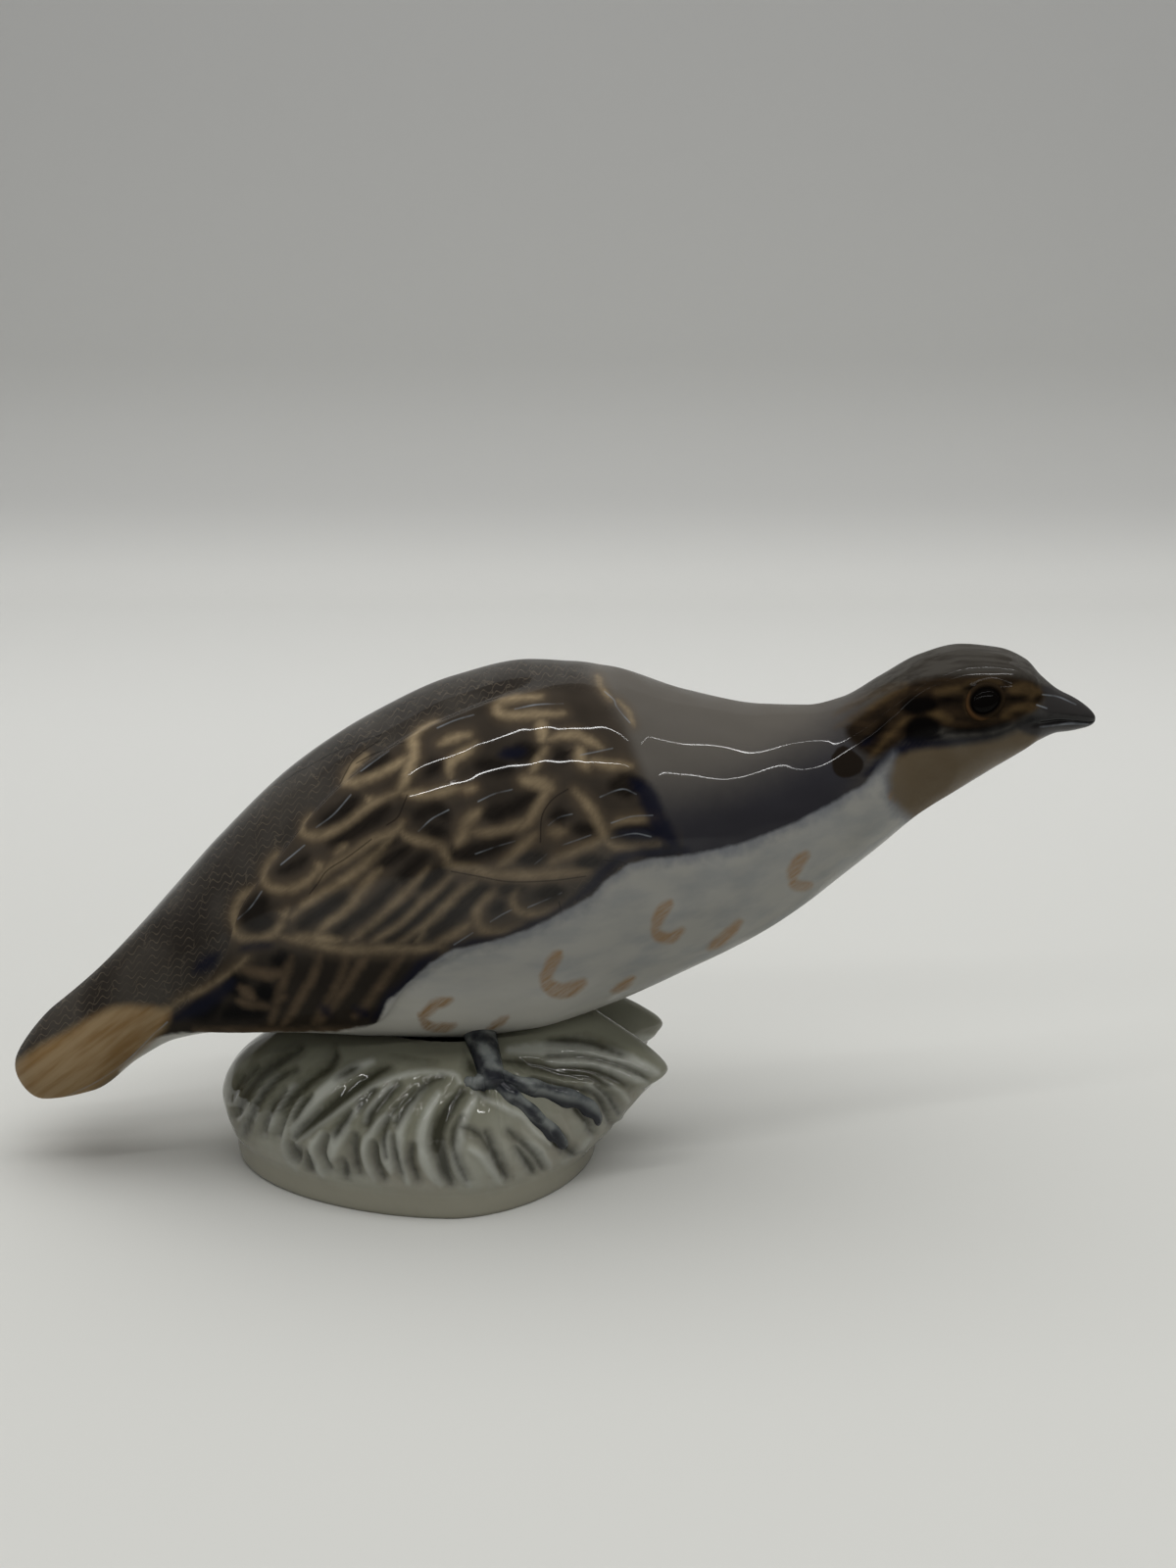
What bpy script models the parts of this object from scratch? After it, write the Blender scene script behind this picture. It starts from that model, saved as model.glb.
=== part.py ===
"""Partridge figurine: one slip-cast piece of glazed porcelain, a bird stretched out over a mound of grass.

Metres, +Z up, beak towards +X. The origin is under the middle of the length, on the surface it stands on.
The bird is a loft of upright sections, the grass is a fluted mound, and both are hollow behind one wall.
"""

import math
from collections import namedtuple

import bmesh
import bpy
from mathutils import Vector

MM = 0.001

# The overall size: beak to tail, the crown over the table, and across the body
LENGTH, HEIGHT, BODY_WIDTH = 250.0 * MM, 121.6 * MM, 70.0 * MM

# The bird's sections
# x is the place along the length, top and bottom are heights above the table, half_width is the reach to
# each side, widest is the share of the height at which that reach lies, and square is the section's
# superellipse power, where 2 is an ellipse. The tables are drawn in millimetres and stretch with the size.
Section = namedtuple("Section", "x top bottom half_width widest square")
SECTIONS = [
    Section(-125.0, 28.5, 16.8, 10.0, 0.45, 2.3),
    Section(-117.0, 34.5, 14.7, 13.5, 0.42, 2.3),
    Section(-105.0, 44.6, 16.9, 15.5, 0.40, 2.3),
    Section(-94.5, 55.3, 24.6, 17.0, 0.42, 2.2),
    Section(-85.0, 65.8, 29.6, 20.0, 0.45, 2.1),
    Section(-75.0, 76.8, 31.4, 24.0, 0.48, 2.1),
    Section(-57.0, 93.8, 31.5, 29.5, 0.50, 2.1),
    Section(-38.5, 105.8, 31.0, 33.5, 0.50, 2.15),
    Section(-20.5, 114.0, 30.5, 35.0, 0.50, 2.15),
    Section(-3.0, 117.8, 32.3, 34.5, 0.51, 2.15),
    Section(14.5, 116.4, 38.0, 31.5, 0.51, 2.1),
    Section(32.5, 111.0, 46.0, 27.0, 0.51, 2.05),
    Section(50.0, 107.8, 54.8, 21.5, 0.50, 2.0),
    Section(60.0, 107.6, 61.6, 18.5, 0.50, 2.0),
    Section(68.0, 109.5, 68.1, 16.5, 0.50, 2.0),
    Section(76.5, 114.5, 75.1, 15.2, 0.50, 2.0),
    Section(85.0, 119.3, 82.5, 14.4, 0.50, 2.0),
    Section(94.0, 121.6, 88.5, 14.0, 0.48, 2.0),
    Section(102.5, 120.8, 94.0, 12.8, 0.47, 2.0),
    Section(108.5, 118.3, 97.6, 10.2, 0.46, 2.0),
    Section(112.0, 114.7, 99.8, 7.4, 0.45, 2.0),
    Section(116.5, 111.2, 101.6, 5.4, 0.48, 2.0),
    Section(121.0, 109.2, 101.9, 4.2, 0.50, 2.0),
    Section(125.0, 107.6, 101.4, 3.4, 0.52, 2.0),
]
LONG_UNIT = LENGTH / (SECTIONS[-1].x - SECTIONS[0].x)
HIGH_UNIT = HEIGHT / max(row.top for row in SECTIONS)
WIDE_UNIT = BODY_WIDTH / (2 * max(row.half_width for row in SECTIONS))
TAIL_ROUNDING = 9.0 * MM
BEAK_ROUNDING = 7.0 * MM

# The edges of the wing, the brow and the mouth
# Two lines run along the bird, each given by the angle round the section from the top of the back, in
# degrees. On the body they are the wing's upper and lower edge, and on the head the brow and the mouth.
Line = namedtuple("Line", "x upper lower")
LINES = [
    Line(-125.0, 60.0, 112.0),
    Line(-105.0, 68.0, 120.0),
    Line(-95.0, 90.0, 126.0),
    Line(-88.0, 111.0, 132.0),
    Line(-82.0, 110.0, 137.0),
    Line(-75.0, 101.0, 140.0),
    Line(-69.0, 90.0, 142.0),
    Line(-64.0, 72.0, 143.0),
    Line(-57.0, 62.0, 144.0),
    Line(-45.0, 46.0, 143.0),
    Line(-36.0, 39.0, 134.0),
    Line(-28.0, 35.0, 114.0),
    Line(-18.0, 32.0, 106.0),
    Line(-3.0, 27.0, 101.0),
    Line(9.0, 18.0, 97.0),
    Line(16.0, 31.0, 91.0),
    Line(22.0, 58.0, 88.0),
    Line(26.0, 75.0, 89.0),
    Line(31.0, 82.0, 93.0),
    Line(42.0, 68.0, 102.0),
    Line(60.0, 54.0, 112.0),
    Line(80.0, 43.0, 114.0),
    Line(98.0, 40.0, 106.0),
    Line(108.0, 46.0, 103.0),
    Line(117.0, 50.0, 107.0),
    Line(125.0, 55.0, 113.0),
]
EDGE_TURN = 3.0
# The x and height of the wing and brow over the skin, and the depth of the mouth
WING_RISE = [(-88.0, 0.0), (-82.0, 0.9), (-66.0, 1.5), (-20.0, 1.4), (12.0, 1.2), (24.0, 0.9), (31.0, 0.0)]
BROW_RISE = [(72.0, 0.0), (84.0, 0.5), (104.0, 0.6), (111.0, 0.0)]
MOUTH_DEPTH = [(104.0, 0.0), (109.0, 0.5), (118.0, 0.6), (124.0, 0.2)]

# How finely the loft is cut: the x of each zone's end and the steps that reach it
ZONES = [
    (-116.0, 6), (-90.0, 6), (-48.0, 8), (-24.0, 8), (34.0, 11),
    (66.0, 6), (109.0, 15), (118.0, 4), (125.0, 5),
]
BACK_STEPS, WING_STEPS, BELLY_STEPS = 5, 6, 4
SHARP_ANGLE = 60.0

# The porcelain wall and what it encloses
WALL = 4.0 * MM
HOLLOW_FROM_TAIL, HOLLOW_FROM_BEAK = 21.0 * MM, 22.0 * MM
HOLLOW_STEPS, HOLLOW_SIDES = 18, 14

# The eye, a low oval dome in a raised lid
EYE_FROM_BEAK, EYE_TURN = 28.0 * MM, 69.0
EYE_HALF_LENGTH, EYE_HALF_HEIGHT, EYE_BULGE = 3.1 * MM, 2.3 * MM, 0.9 * MM
LID_WIDTH, LID_RISE, LID_GROOVE = 1.4 * MM, 0.5 * MM, 0.1 * MM
EYE_SIDES, EYE_RINGS = 20, 3

# The grass mound
# It is round in front and drawn out to the back, like an egg laid under the bird.
MOUND_X = -20.0 * LONG_UNIT
MOUND_FRONT, MOUND_REAR, MOUND_HALF_DEPTH = 32.0 * MM, 53.0 * MM, 37.4 * MM
MOUND_POWER = 1.8
PLINTH_HEIGHT = 5.5 * MM
# Height above the table and spread, as a share of the outline at the table
MOUND_PROFILE = [
    (0.0, 0.985), (1.0, 1.0), (5.5, 1.01), (8.0, 1.04), (11.5, 1.065), (15.5, 1.075), (19.0, 1.06),
    (22.0, 1.03), (25.0, 0.98), (28.0, 0.90), (31.0, 0.78), (33.0, 0.64), (34.0, 0.50),
]
MOUND_TOP = 34.3 * HIGH_UNIT

# The blades of grass
# They spring from the foot on each side, sweep out along the top of the mound and droop to the plinth.
BLADES, BLADE_STEPS = 24, 3
BLADE_DEPTH, BLADE_SHARPNESS = 1.8 * MM, 1.2
BLADE_SWAY, BLADE_CROWD = 0.22, 1.15
BLADE_ROOT = 73.0
REAR_DROOP, FRONT_DROOP = 0.45, 0.7
BLADE_FADE = 4.0 * MM
LEAST_DROP, FULL_DROP = 0.03, 0.2

# The tufts, one each side of the breast
TUFT_TURN, TUFT_INNER, TUFT_OUTER = 17.0, 10.0, 20.0
# Level on the mound and how far the tuft stands out there
TUFT_REACH = [
    (4.0, 0.0), (9.0, 4.0), (15.0, 8.5), (20.0, 14.0), (23.5, 19.0), (27.0, 16.5), (31.0, 12.0), (35.5, 9.0),
]
TUFT_LIFT, TUFT_LIFT_WIDTH = 0.22, 40.0

# The underside
FOOT_RING = 7.0 * MM
RECESS_DEPTH = 1.6 * MM
RECESS_SIDES = 40
VENT_RADIUS = 4.0 * MM
VENT_SIDES = 20
# The hollow of the mound, from the floor over the recess up to the throat that opens into the bird
MOUND_HOLLOW_LEVELS = [RECESS_DEPTH + WALL] + [level * HIGH_UNIT for level in (12.0, 20.0, 25.0, 30.0)]
MOUND_HOLLOW_SIDES = 24

# The feet
# Each toe is a row of places on the mound, as turn round it in degrees and level in millimetres.
SHANK_X, SHANK_TURN = MOUND_X + 6.0 * MM, 213.0
SHANK_RADIUS = 3.2 * MM
TOE_RADIUS, CLAW_RADIUS = 2.5 * MM, 1.2 * MM
TOE_ROOT, TOE_SINK = 2.2, 0.5 * MM
TOES = [
    [(-74.0, 30.0), (-67.0, 26.5), (-59.0, 22.0), (-51.0, 17.0), (-43.0, 12.0)],
    [(-72.0, 30.5), (-59.0, 27.5), (-49.0, 25.5), (-39.0, 23.0), (-33.0, 18.0)],
    [(-71.0, 29.5), (-80.0, 30.0), (-87.0, 28.0)],
]
TOE_SIDES = 8


def steady(points, x):
    """The value at x of the monotone cubic through (x, value) points."""
    if x <= points[0][0]:
        return points[0][1]
    if x >= points[-1][0]:
        return points[-1][1]
    steps = [(b[0] - a[0], (b[1] - a[1]) / (b[0] - a[0])) for a, b in zip(points, points[1:])]
    slopes = [steps[0][1]]
    for (width_a, rise_a), (width_b, rise_b) in zip(steps, steps[1:]):
        if rise_a * rise_b <= 0:
            slopes.append(0.0)
        else:
            share_a = 2 * width_b + width_a
            share_b = width_b + 2 * width_a
            slopes.append((share_a + share_b) / (share_a / rise_a + share_b / rise_b))
    slopes.append(steps[-1][1])
    i = max(k for k in range(len(steps)) if points[k][0] <= x)
    width, t = steps[i][0], (x - points[i][0]) / steps[i][0]
    return (
        points[i][1] * (1 + 2 * t) * (1 - t) ** 2
        + slopes[i] * width * t * (1 - t) ** 2
        + points[i + 1][1] * t * t * (3 - 2 * t)
        - slopes[i + 1] * width * t * t * (1 - t)
    )


def column(rows, name, unit=1.0):
    """One column of a table of sections or lines, as (x, value) points in metres."""
    return [(row.x * LONG_UNIT, getattr(row, name) * unit) for row in rows]


TOP = column(SECTIONS, "top", HIGH_UNIT)
BOTTOM = column(SECTIONS, "bottom", HIGH_UNIT)
HALF_WIDTH = column(SECTIONS, "half_width", WIDE_UNIT)
WIDEST = column(SECTIONS, "widest")
SQUARE = column(SECTIONS, "square")
UPPER_LINE = column(LINES, "upper")
LOWER_LINE = column(LINES, "lower")
TAIL_TIP, BEAK_TIP = TOP[0][0], TOP[-1][0]


def end_rounding(x):
    """The share of its full section that the bird keeps at x, which falls to nothing at both tips."""
    share = 1.0
    for tip, length in ((TAIL_TIP, TAIL_ROUNDING), (BEAK_TIP, BEAK_ROUNDING)):
        inside = abs(x - tip) / length
        if inside < 1:
            share *= math.sqrt(max(0.0, 1 - (1 - inside) ** 2))
    return share


def skin(x, turn):
    """The bird's smooth skin: the point at x and at an angle in degrees from the top of the back."""
    top, bottom = steady(TOP, x), steady(BOTTOM, x)
    level = bottom + (top - bottom) * steady(WIDEST, x)
    keep = end_rounding(x)
    power = 2 / steady(SQUARE, x)
    up, out = math.cos(math.radians(turn)), math.sin(math.radians(turn))
    reach = (top - level) if up > 0 else (level - bottom)
    z = level + reach * keep * math.copysign(abs(up) ** power, up)
    y = steady(HALF_WIDTH, x) * keep * math.copysign(abs(out) ** power, out)
    return Vector((x, y, z))


def skin_normal(x, turn):
    """The outward normal of the smooth skin, from two short steps along it."""
    step, angle = 0.2 * MM, 1.0
    inner = max(TAIL_TIP + 2 * step, min(BEAK_TIP - 2 * step, x))
    along = skin(inner + step, turn) - skin(inner - step, turn)
    around = skin(inner, turn + angle) - skin(inner, turn - angle)
    return along.cross(around).normalized()


def along_bird():
    """The x of each ring of the loft. The steps close up towards the two tips."""
    places, start = [], TAIL_TIP
    for number, (end, steps) in enumerate(ZONES):
        end *= LONG_UNIT
        for k in range(1, steps + 1):
            share = k / steps
            if number == 0:
                share = 1 - math.cos(share * math.pi / 2)
            if number == len(ZONES) - 1:
                share = math.sin(share * math.pi / 2)
            places.append(start + (end - start) * share)
        start = end
    return places[:-1]


def relief_rows(x):
    """(turn, rise) down one side, from the top of the back to the keel."""
    upper, lower = steady(UPPER_LINE, x), steady(LOWER_LINE, x)
    wing = steady([(a * LONG_UNIT, b * MM) for a, b in WING_RISE], x)
    brow = steady([(a * LONG_UNIT, b * MM) for a, b in BROW_RISE], x)
    mouth = steady([(a * LONG_UNIT, b * MM) for a, b in MOUTH_DEPTH], x)
    rows = [(upper * k / BACK_STEPS, 0.0) for k in range(BACK_STEPS)]
    rows.append((upper, brow))
    start, end = upper + EDGE_TURN, lower - EDGE_TURN
    rows += [(start + (end - start) * k / WING_STEPS, wing) for k in range(WING_STEPS + 1)]
    rows.append((lower, -mouth))
    rows += [(lower + (180 - lower) * k / BELLY_STEPS, 0.0) for k in range(1, BELLY_STEPS + 1)]
    return rows


def mesh_object(name, bm):
    """Turns a bmesh into an object with its faces pointing out, cut into triangles to be truly flat."""
    bmesh.ops.recalc_face_normals(bm, faces=bm.faces)
    bmesh.ops.triangulate(bm, faces=bm.faces)
    mesh = bpy.data.meshes.new(name)
    bm.to_mesh(mesh)
    bm.free()
    obj = bpy.data.objects.new(name, mesh)
    bpy.context.collection.objects.link(obj)
    return obj


def skin_over(bm, rings, first=None, last=None):
    """Bridges closed rings of vertices, and closes each end with a fan to a point or with one face."""
    for ring_a, ring_b in zip(rings, rings[1:]):
        for k in range(len(ring_a)):
            n = (k + 1) % len(ring_a)
            bm.faces.new((ring_a[k], ring_a[n], ring_b[n], ring_b[k]))
    for ring, tip in ((rings[0], first), (rings[-1], last)):
        if tip is None:
            bm.faces.new(ring)
            continue
        point = bm.verts.new(tip)
        for k in range(len(ring)):
            bm.faces.new((ring[k], ring[(k + 1) % len(ring)], point))


def build_bird():
    """The loft from tail to beak, with the folded wings raised and the brow and mouth marked."""
    bm = bmesh.new()
    rings = []
    for x in along_bird():
        side = relief_rows(x)
        whole = side + [(360 - turn, rise) for turn, rise in reversed(side[1:-1])]
        rings.append([bm.verts.new(skin(x, turn) + skin_normal(x, turn) * rise) for turn, rise in whole])
    skin_over(bm, rings, skin(TAIL_TIP, 0), skin(BEAK_TIP, 0))
    return mesh_object("partridge", bm)


def bell(away, width):
    """A bell curve: 1 at its middle and almost 0 at twice the width."""
    return math.exp(-((away / width) ** 2))


def from_front(turn):
    """The angle between a turn round the mound and its front, from 0 to 180 degrees."""
    return abs((turn + 180) % 360 - 180)


def mound_reach(turn, level):
    """How far the grass reaches from the middle at a turn in degrees round it, at a level of its profile."""
    angle = math.radians(turn)
    half_length = MOUND_FRONT if math.cos(angle) > 0 else MOUND_REAR
    across, deep = abs(math.cos(angle)) / half_length, abs(math.sin(angle)) / MOUND_HALF_DEPTH
    outline = (across**MOUND_POWER + deep**MOUND_POWER) ** (-1 / MOUND_POWER)
    away = from_front(turn) - TUFT_TURN
    lobe = bell(away, TUFT_INNER if away < 0 else TUFT_OUTER)
    tuft = steady([(a * HIGH_UNIT, b * MM) for a, b in TUFT_REACH], level)
    return outline * steady([(a * HIGH_UNIT, b) for a, b in MOUND_PROFILE], level) + tuft * lobe


def blade_drop(level):
    """How far below the foot a level lies, from next to nothing at the top to 1 at the plinth."""
    return max(LEAST_DROP, min(1.0, (MOUND_TOP - level) / (MOUND_TOP - PLINTH_HEIGHT)))


def blade_turn(blade, level):
    """Where a blade, counted from the front, lies on a level: it runs down from the foot to its tip.

    The first lies half a step off the front, so that no edge runs along the middle of the mound.
    """
    share = (blade + 0.5 / BLADE_STEPS) / BLADES
    sway = BLADE_SWAY * (math.sin(7 * math.pi * share) + math.sin(11 * math.pi * share)) / BLADES
    away = 180 * (share + sway) ** BLADE_CROWD - BLADE_ROOT
    droop, end = (REAR_DROOP, 180 - BLADE_ROOT) if away > 0 else (FRONT_DROOP, BLADE_ROOT)
    return BLADE_ROOT + away * blade_drop(level) ** (droop * (1 - (away / end) ** 2))


def blade_valley(blade, level):
    """The depth of the flutes: narrow valleys between rounded backs."""
    fade = min(1.0, max(0.0, level - PLINTH_HEIGHT) / BLADE_FADE) * min(1.0, blade_drop(level) / FULL_DROP)
    return fade * BLADE_DEPTH * (1 - abs(math.sin(math.pi * blade))) ** BLADE_SHARPNESS


def mound_place(turn, level, reach):
    """The place at a turn, a level and a reach. The profile is drawn up at the front, under the breast."""
    angle = math.radians(turn)
    lift = 1 + TUFT_LIFT * bell(from_front(turn), TUFT_LIFT_WIDTH) * level / MOUND_TOP
    return Vector((MOUND_X + reach * math.cos(angle), reach * math.sin(angle), level * lift))


def build_mound():
    """The fluted mound, from the flat foot up into the belly. Its columns of points follow the blades."""
    bm = bmesh.new()
    rings = []
    for low, _ in MOUND_PROFILE:
        level = low * HIGH_UNIT
        side = []
        for step in range(BLADES * BLADE_STEPS):
            blade = step / BLADE_STEPS
            turn = blade_turn(blade, level)
            side.append(mound_place(turn, level, mound_reach(turn, level) - blade_valley(blade, level)))
        ring = side + [Vector((place.x, -place.y, place.z)) for place in reversed(side)]
        rings.append([bm.verts.new(place) for place in ring])
    skin_over(bm, rings, None, Vector((MOUND_X, 0, MOUND_TOP)))
    return mesh_object("mound", bm)


def tube(bm, places, radii, root=1.0):
    """A tapering tube through the places, drawn down to a deeper root below, with a pointed far end."""
    rings = []
    for number, place in enumerate(places[:-1]):
        ahead = (places[number + 1] - places[max(0, number - 1)]).normalized()
        across = ahead.cross(Vector((0, 0, 1))).normalized()
        over = across.cross(ahead)
        ring = []
        for k in range(TOE_SIDES):
            angle = 2 * math.pi * k / TOE_SIDES
            rise = math.sin(angle) * (1 if math.sin(angle) > 0 else root)
            offset = across * math.cos(angle) + over * rise
            ring.append(bm.verts.new(place + offset * radii[number]))
        rings.append(ring)
    skin_over(bm, rings, None, places[-1])


def build_foot(side):
    """One foot: a short shank down from the belly and the toes spread over the grass."""
    toes = []
    for rows in TOES:
        rows = [(turn, level * HIGH_UNIT) for turn, level in rows]
        toes.append([mound_place(turn, level, mound_reach(turn, level) - TOE_SINK) for turn, level in rows])
    knee = skin(SHANK_X, SHANK_TURN) - skin_normal(SHANK_X, SHANK_TURN) * WALL
    heel = toes[0][0]
    parts = [([knee, heel, heel + (heel - knee).normalized() * SHANK_RADIUS], [SHANK_RADIUS] * 2, 1.0)]
    for toe in toes:
        steps = len(toe) - 1
        radii = [TOE_RADIUS + (CLAW_RADIUS - TOE_RADIUS) * k / steps for k in range(steps)]
        parts.append((toe, radii, TOE_ROOT))
    pieces = []
    for number, (places, radii, root) in enumerate(parts):
        bm = bmesh.new()
        tube(bm, places, radii, root)
        bmesh.ops.scale(bm, vec=(1, side, 1), verts=bm.verts)
        pieces.append(mesh_object(f"foot_{side}_{number}", bm))
    return pieces


def build_eye(side):
    """The eye: a low oval dome in a raised lid, set on the side of the head."""
    rows = [(LID_WIDTH, -WALL / 2), (LID_WIDTH / 2, LID_RISE), (0.0, LID_GROOVE)]
    rows = [(EYE_HALF_LENGTH + out, EYE_HALF_HEIGHT + out, rise) for out, rise in rows]
    for step in range(1, EYE_RINGS):
        keep, rise = math.cos(step * math.pi / 2 / EYE_RINGS), math.sin(step * math.pi / 2 / EYE_RINGS)
        rows.append((EYE_HALF_LENGTH * keep, EYE_HALF_HEIGHT * keep, EYE_BULGE * rise))
    middle = BEAK_TIP - EYE_FROM_BEAK
    bm = bmesh.new()
    rings = []
    for length, height, rise in rows:
        ring = []
        for k in range(EYE_SIDES):
            angle = 2 * math.pi * k / EYE_SIDES
            x = middle + length * math.cos(angle)
            turn = EYE_TURN + math.degrees(height * math.sin(angle) / steady(HALF_WIDTH, middle))
            ring.append(bm.verts.new(skin(x, turn) + skin_normal(x, turn) * rise))
        rings.append(ring)
    skin_over(bm, rings, None, skin(middle, EYE_TURN) + skin_normal(middle, EYE_TURN) * EYE_BULGE)
    bmesh.ops.scale(bm, vec=(1, side, 1), verts=bm.verts)
    return mesh_object(f"eye_{side}", bm)


def build_hollow():
    """The inside of the bird, one wall in from the smooth skin."""
    bm = bmesh.new()
    rings = []
    start, end = TAIL_TIP + HOLLOW_FROM_TAIL, BEAK_TIP - HOLLOW_FROM_BEAK
    for k in range(HOLLOW_STEPS + 1):
        x = start + (end - start) * k / HOLLOW_STEPS
        ring = []
        for n in range(HOLLOW_SIDES):
            turn = 360 * n / HOLLOW_SIDES
            ring.append(bm.verts.new(skin(x, turn) - skin_normal(x, turn) * WALL))
        rings.append(ring)
    skin_over(bm, rings)
    return mesh_object("hollow", bm)


def build_mound_hollow():
    """The inside of the mound, one wall in from the valleys of the grass and up into the bird."""
    bm = bmesh.new()
    rings = []
    for level in MOUND_HOLLOW_LEVELS:
        ring = []
        for k in range(MOUND_HOLLOW_SIDES):
            turn = 360 * k / MOUND_HOLLOW_SIDES
            reach = min(mound_reach(turn, near) for near in (level - WALL, level, level + WALL))
            ring.append(bm.verts.new(mound_place(turn, level, reach - WALL - BLADE_DEPTH)))
        rings.append(ring)
    throat = [bm.verts.new((v.co.x, v.co.y, v.co.z + 3 * WALL)) for v in rings[-1]]
    skin_over(bm, rings + [throat])
    return mesh_object("mound_hollow", bm)


def cylinder(name, radii, low, high, sides):
    """An upright oval cutter centred under the mound."""
    bm = bmesh.new()
    rings = []
    for height in (low, high):
        ring = []
        for k in range(sides):
            angle = 2 * math.pi * k / sides
            across = radii[0] if math.cos(angle) > 0 else radii[1]
            at = (MOUND_X + across * math.cos(angle), radii[2] * math.sin(angle), height)
            ring.append(bm.verts.new(at))
        rings.append(ring)
    skin_over(bm, rings)
    return mesh_object(name, bm)


def build_recess():
    """The cutter for the shallow recess within the foot ring."""
    reach = [size - FOOT_RING for size in (MOUND_FRONT, MOUND_REAR, MOUND_HALF_DEPTH)]
    return cylinder("recess", reach, -RECESS_DEPTH, RECESS_DEPTH, RECESS_SIDES)


def build_vent():
    """The cutter for the vent hole, through which the slip is poured out and the firing gas leaves."""
    return cylinder("vent", [VENT_RADIUS] * 3, -WALL, RECESS_DEPTH + 2 * WALL, VENT_SIDES)


def glaze():
    """Clear gloss over a mid brown that stands for the painted plumage."""
    material = bpy.data.materials.new("glazed_porcelain")
    material.use_nodes = True
    shader = material.node_tree.nodes["Principled BSDF"]
    shader.inputs["Base Color"].default_value = (0.20, 0.17, 0.14, 1.0)
    shader.inputs["Roughness"].default_value = 0.12
    shader.inputs["Metallic"].default_value = 0.0
    return material


def combine(target, helper, operation):
    """Adds a Boolean of the helper to the target, and takes the helper out of the model."""
    modifier = target.modifiers.new(helper.name, "BOOLEAN")
    modifier.operation = operation
    modifier.object = helper
    modifier.solver = "EXACT"
    helper.hide_render = True
    helper.display_type = "WIRE"


for old in list(bpy.data.objects):
    bpy.data.objects.remove(old)

bird = build_bird()
combine(bird, build_mound(), "UNION")
for side in (1, -1):
    for piece in build_foot(side) + [build_eye(side)]:
        combine(bird, piece, "UNION")
for cutter in (build_hollow(), build_mound_hollow(), build_recess(), build_vent()):
    combine(bird, cutter, "DIFFERENCE")
bird.data.materials.append(glaze())
bird.data.shade_smooth()
bird.data.set_sharp_from_angle(angle=math.radians(SHARP_ANGLE))
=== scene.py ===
import math

import bpy
import numpy as np
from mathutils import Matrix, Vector


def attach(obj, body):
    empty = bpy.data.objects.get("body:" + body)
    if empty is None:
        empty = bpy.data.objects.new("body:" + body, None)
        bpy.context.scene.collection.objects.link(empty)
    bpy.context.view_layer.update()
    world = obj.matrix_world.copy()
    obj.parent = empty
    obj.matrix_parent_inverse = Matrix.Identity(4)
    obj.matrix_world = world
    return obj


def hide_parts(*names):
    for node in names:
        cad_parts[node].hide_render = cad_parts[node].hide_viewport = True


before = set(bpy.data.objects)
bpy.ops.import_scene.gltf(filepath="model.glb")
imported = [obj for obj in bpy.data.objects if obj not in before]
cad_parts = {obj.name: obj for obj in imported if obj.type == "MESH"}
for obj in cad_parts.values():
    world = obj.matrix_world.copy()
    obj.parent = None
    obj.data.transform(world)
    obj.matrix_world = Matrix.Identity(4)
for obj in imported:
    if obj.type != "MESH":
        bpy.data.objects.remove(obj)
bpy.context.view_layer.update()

# The view: a hand-held camera that looks a little down on the figurine from its right side
# Its place and tilt are the photograph's, with a plain 40 mm lens.
LENS_MM, SENSOR_MM = 40.0, 36.0
FRAME_WIDE, FRAME_HIGH = 1200, 1600
CAMERA_AT = Vector((0.0102, -0.3876, 0.1789))
CAMERA_TILT = math.radians(13.0)
eye_piece = bpy.data.cameras.new("view")
eye_piece.lens = LENS_MM
eye_piece.sensor_width = SENSOR_MM
camera = bpy.data.objects.new("view", eye_piece)
camera.location = CAMERA_AT
camera.rotation_euler = (math.pi / 2 - CAMERA_TILT, 0, 0)
bpy.context.collection.objects.link(camera)
bpy.context.scene.camera = camera
bpy.context.scene.view_settings.view_transform = "Standard"


# The table and backdrop: one sheet of pale paper, swept up behind in a soft bend
# It is matt, lightest on the table, with painted shade darker at the near edge and falling off to grey up the
# back.
class Value:
    """A socket of a material's nodes. An expression on it adds Math nodes."""

    def __init__(self, finish, socket):
        self.finish, self.socket = finish, socket

    def math(self, operation, *values):
        return self.finish.node("ShaderNodeMath", {"operation": operation}, dict(enumerate(values)))

    def __add__(self, other):
        return self.math("ADD", self, other)

    def __sub__(self, other):
        return self.math("SUBTRACT", self, other)

    def __rsub__(self, other):
        return self.math("SUBTRACT", other, self)

    def __mul__(self, other):
        return self.math("MULTIPLY", self, other)

    def __truediv__(self, other):
        return self.math("DIVIDE", self, other)

    def __abs__(self):
        return self.math("ABSOLUTE", self)

    def larger(self, other):
        return self.math("MAXIMUM", self, other)

    def wave(self):
        return self.math("SINE", self)

    __radd__ = __add__
    __rmul__ = __mul__


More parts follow.
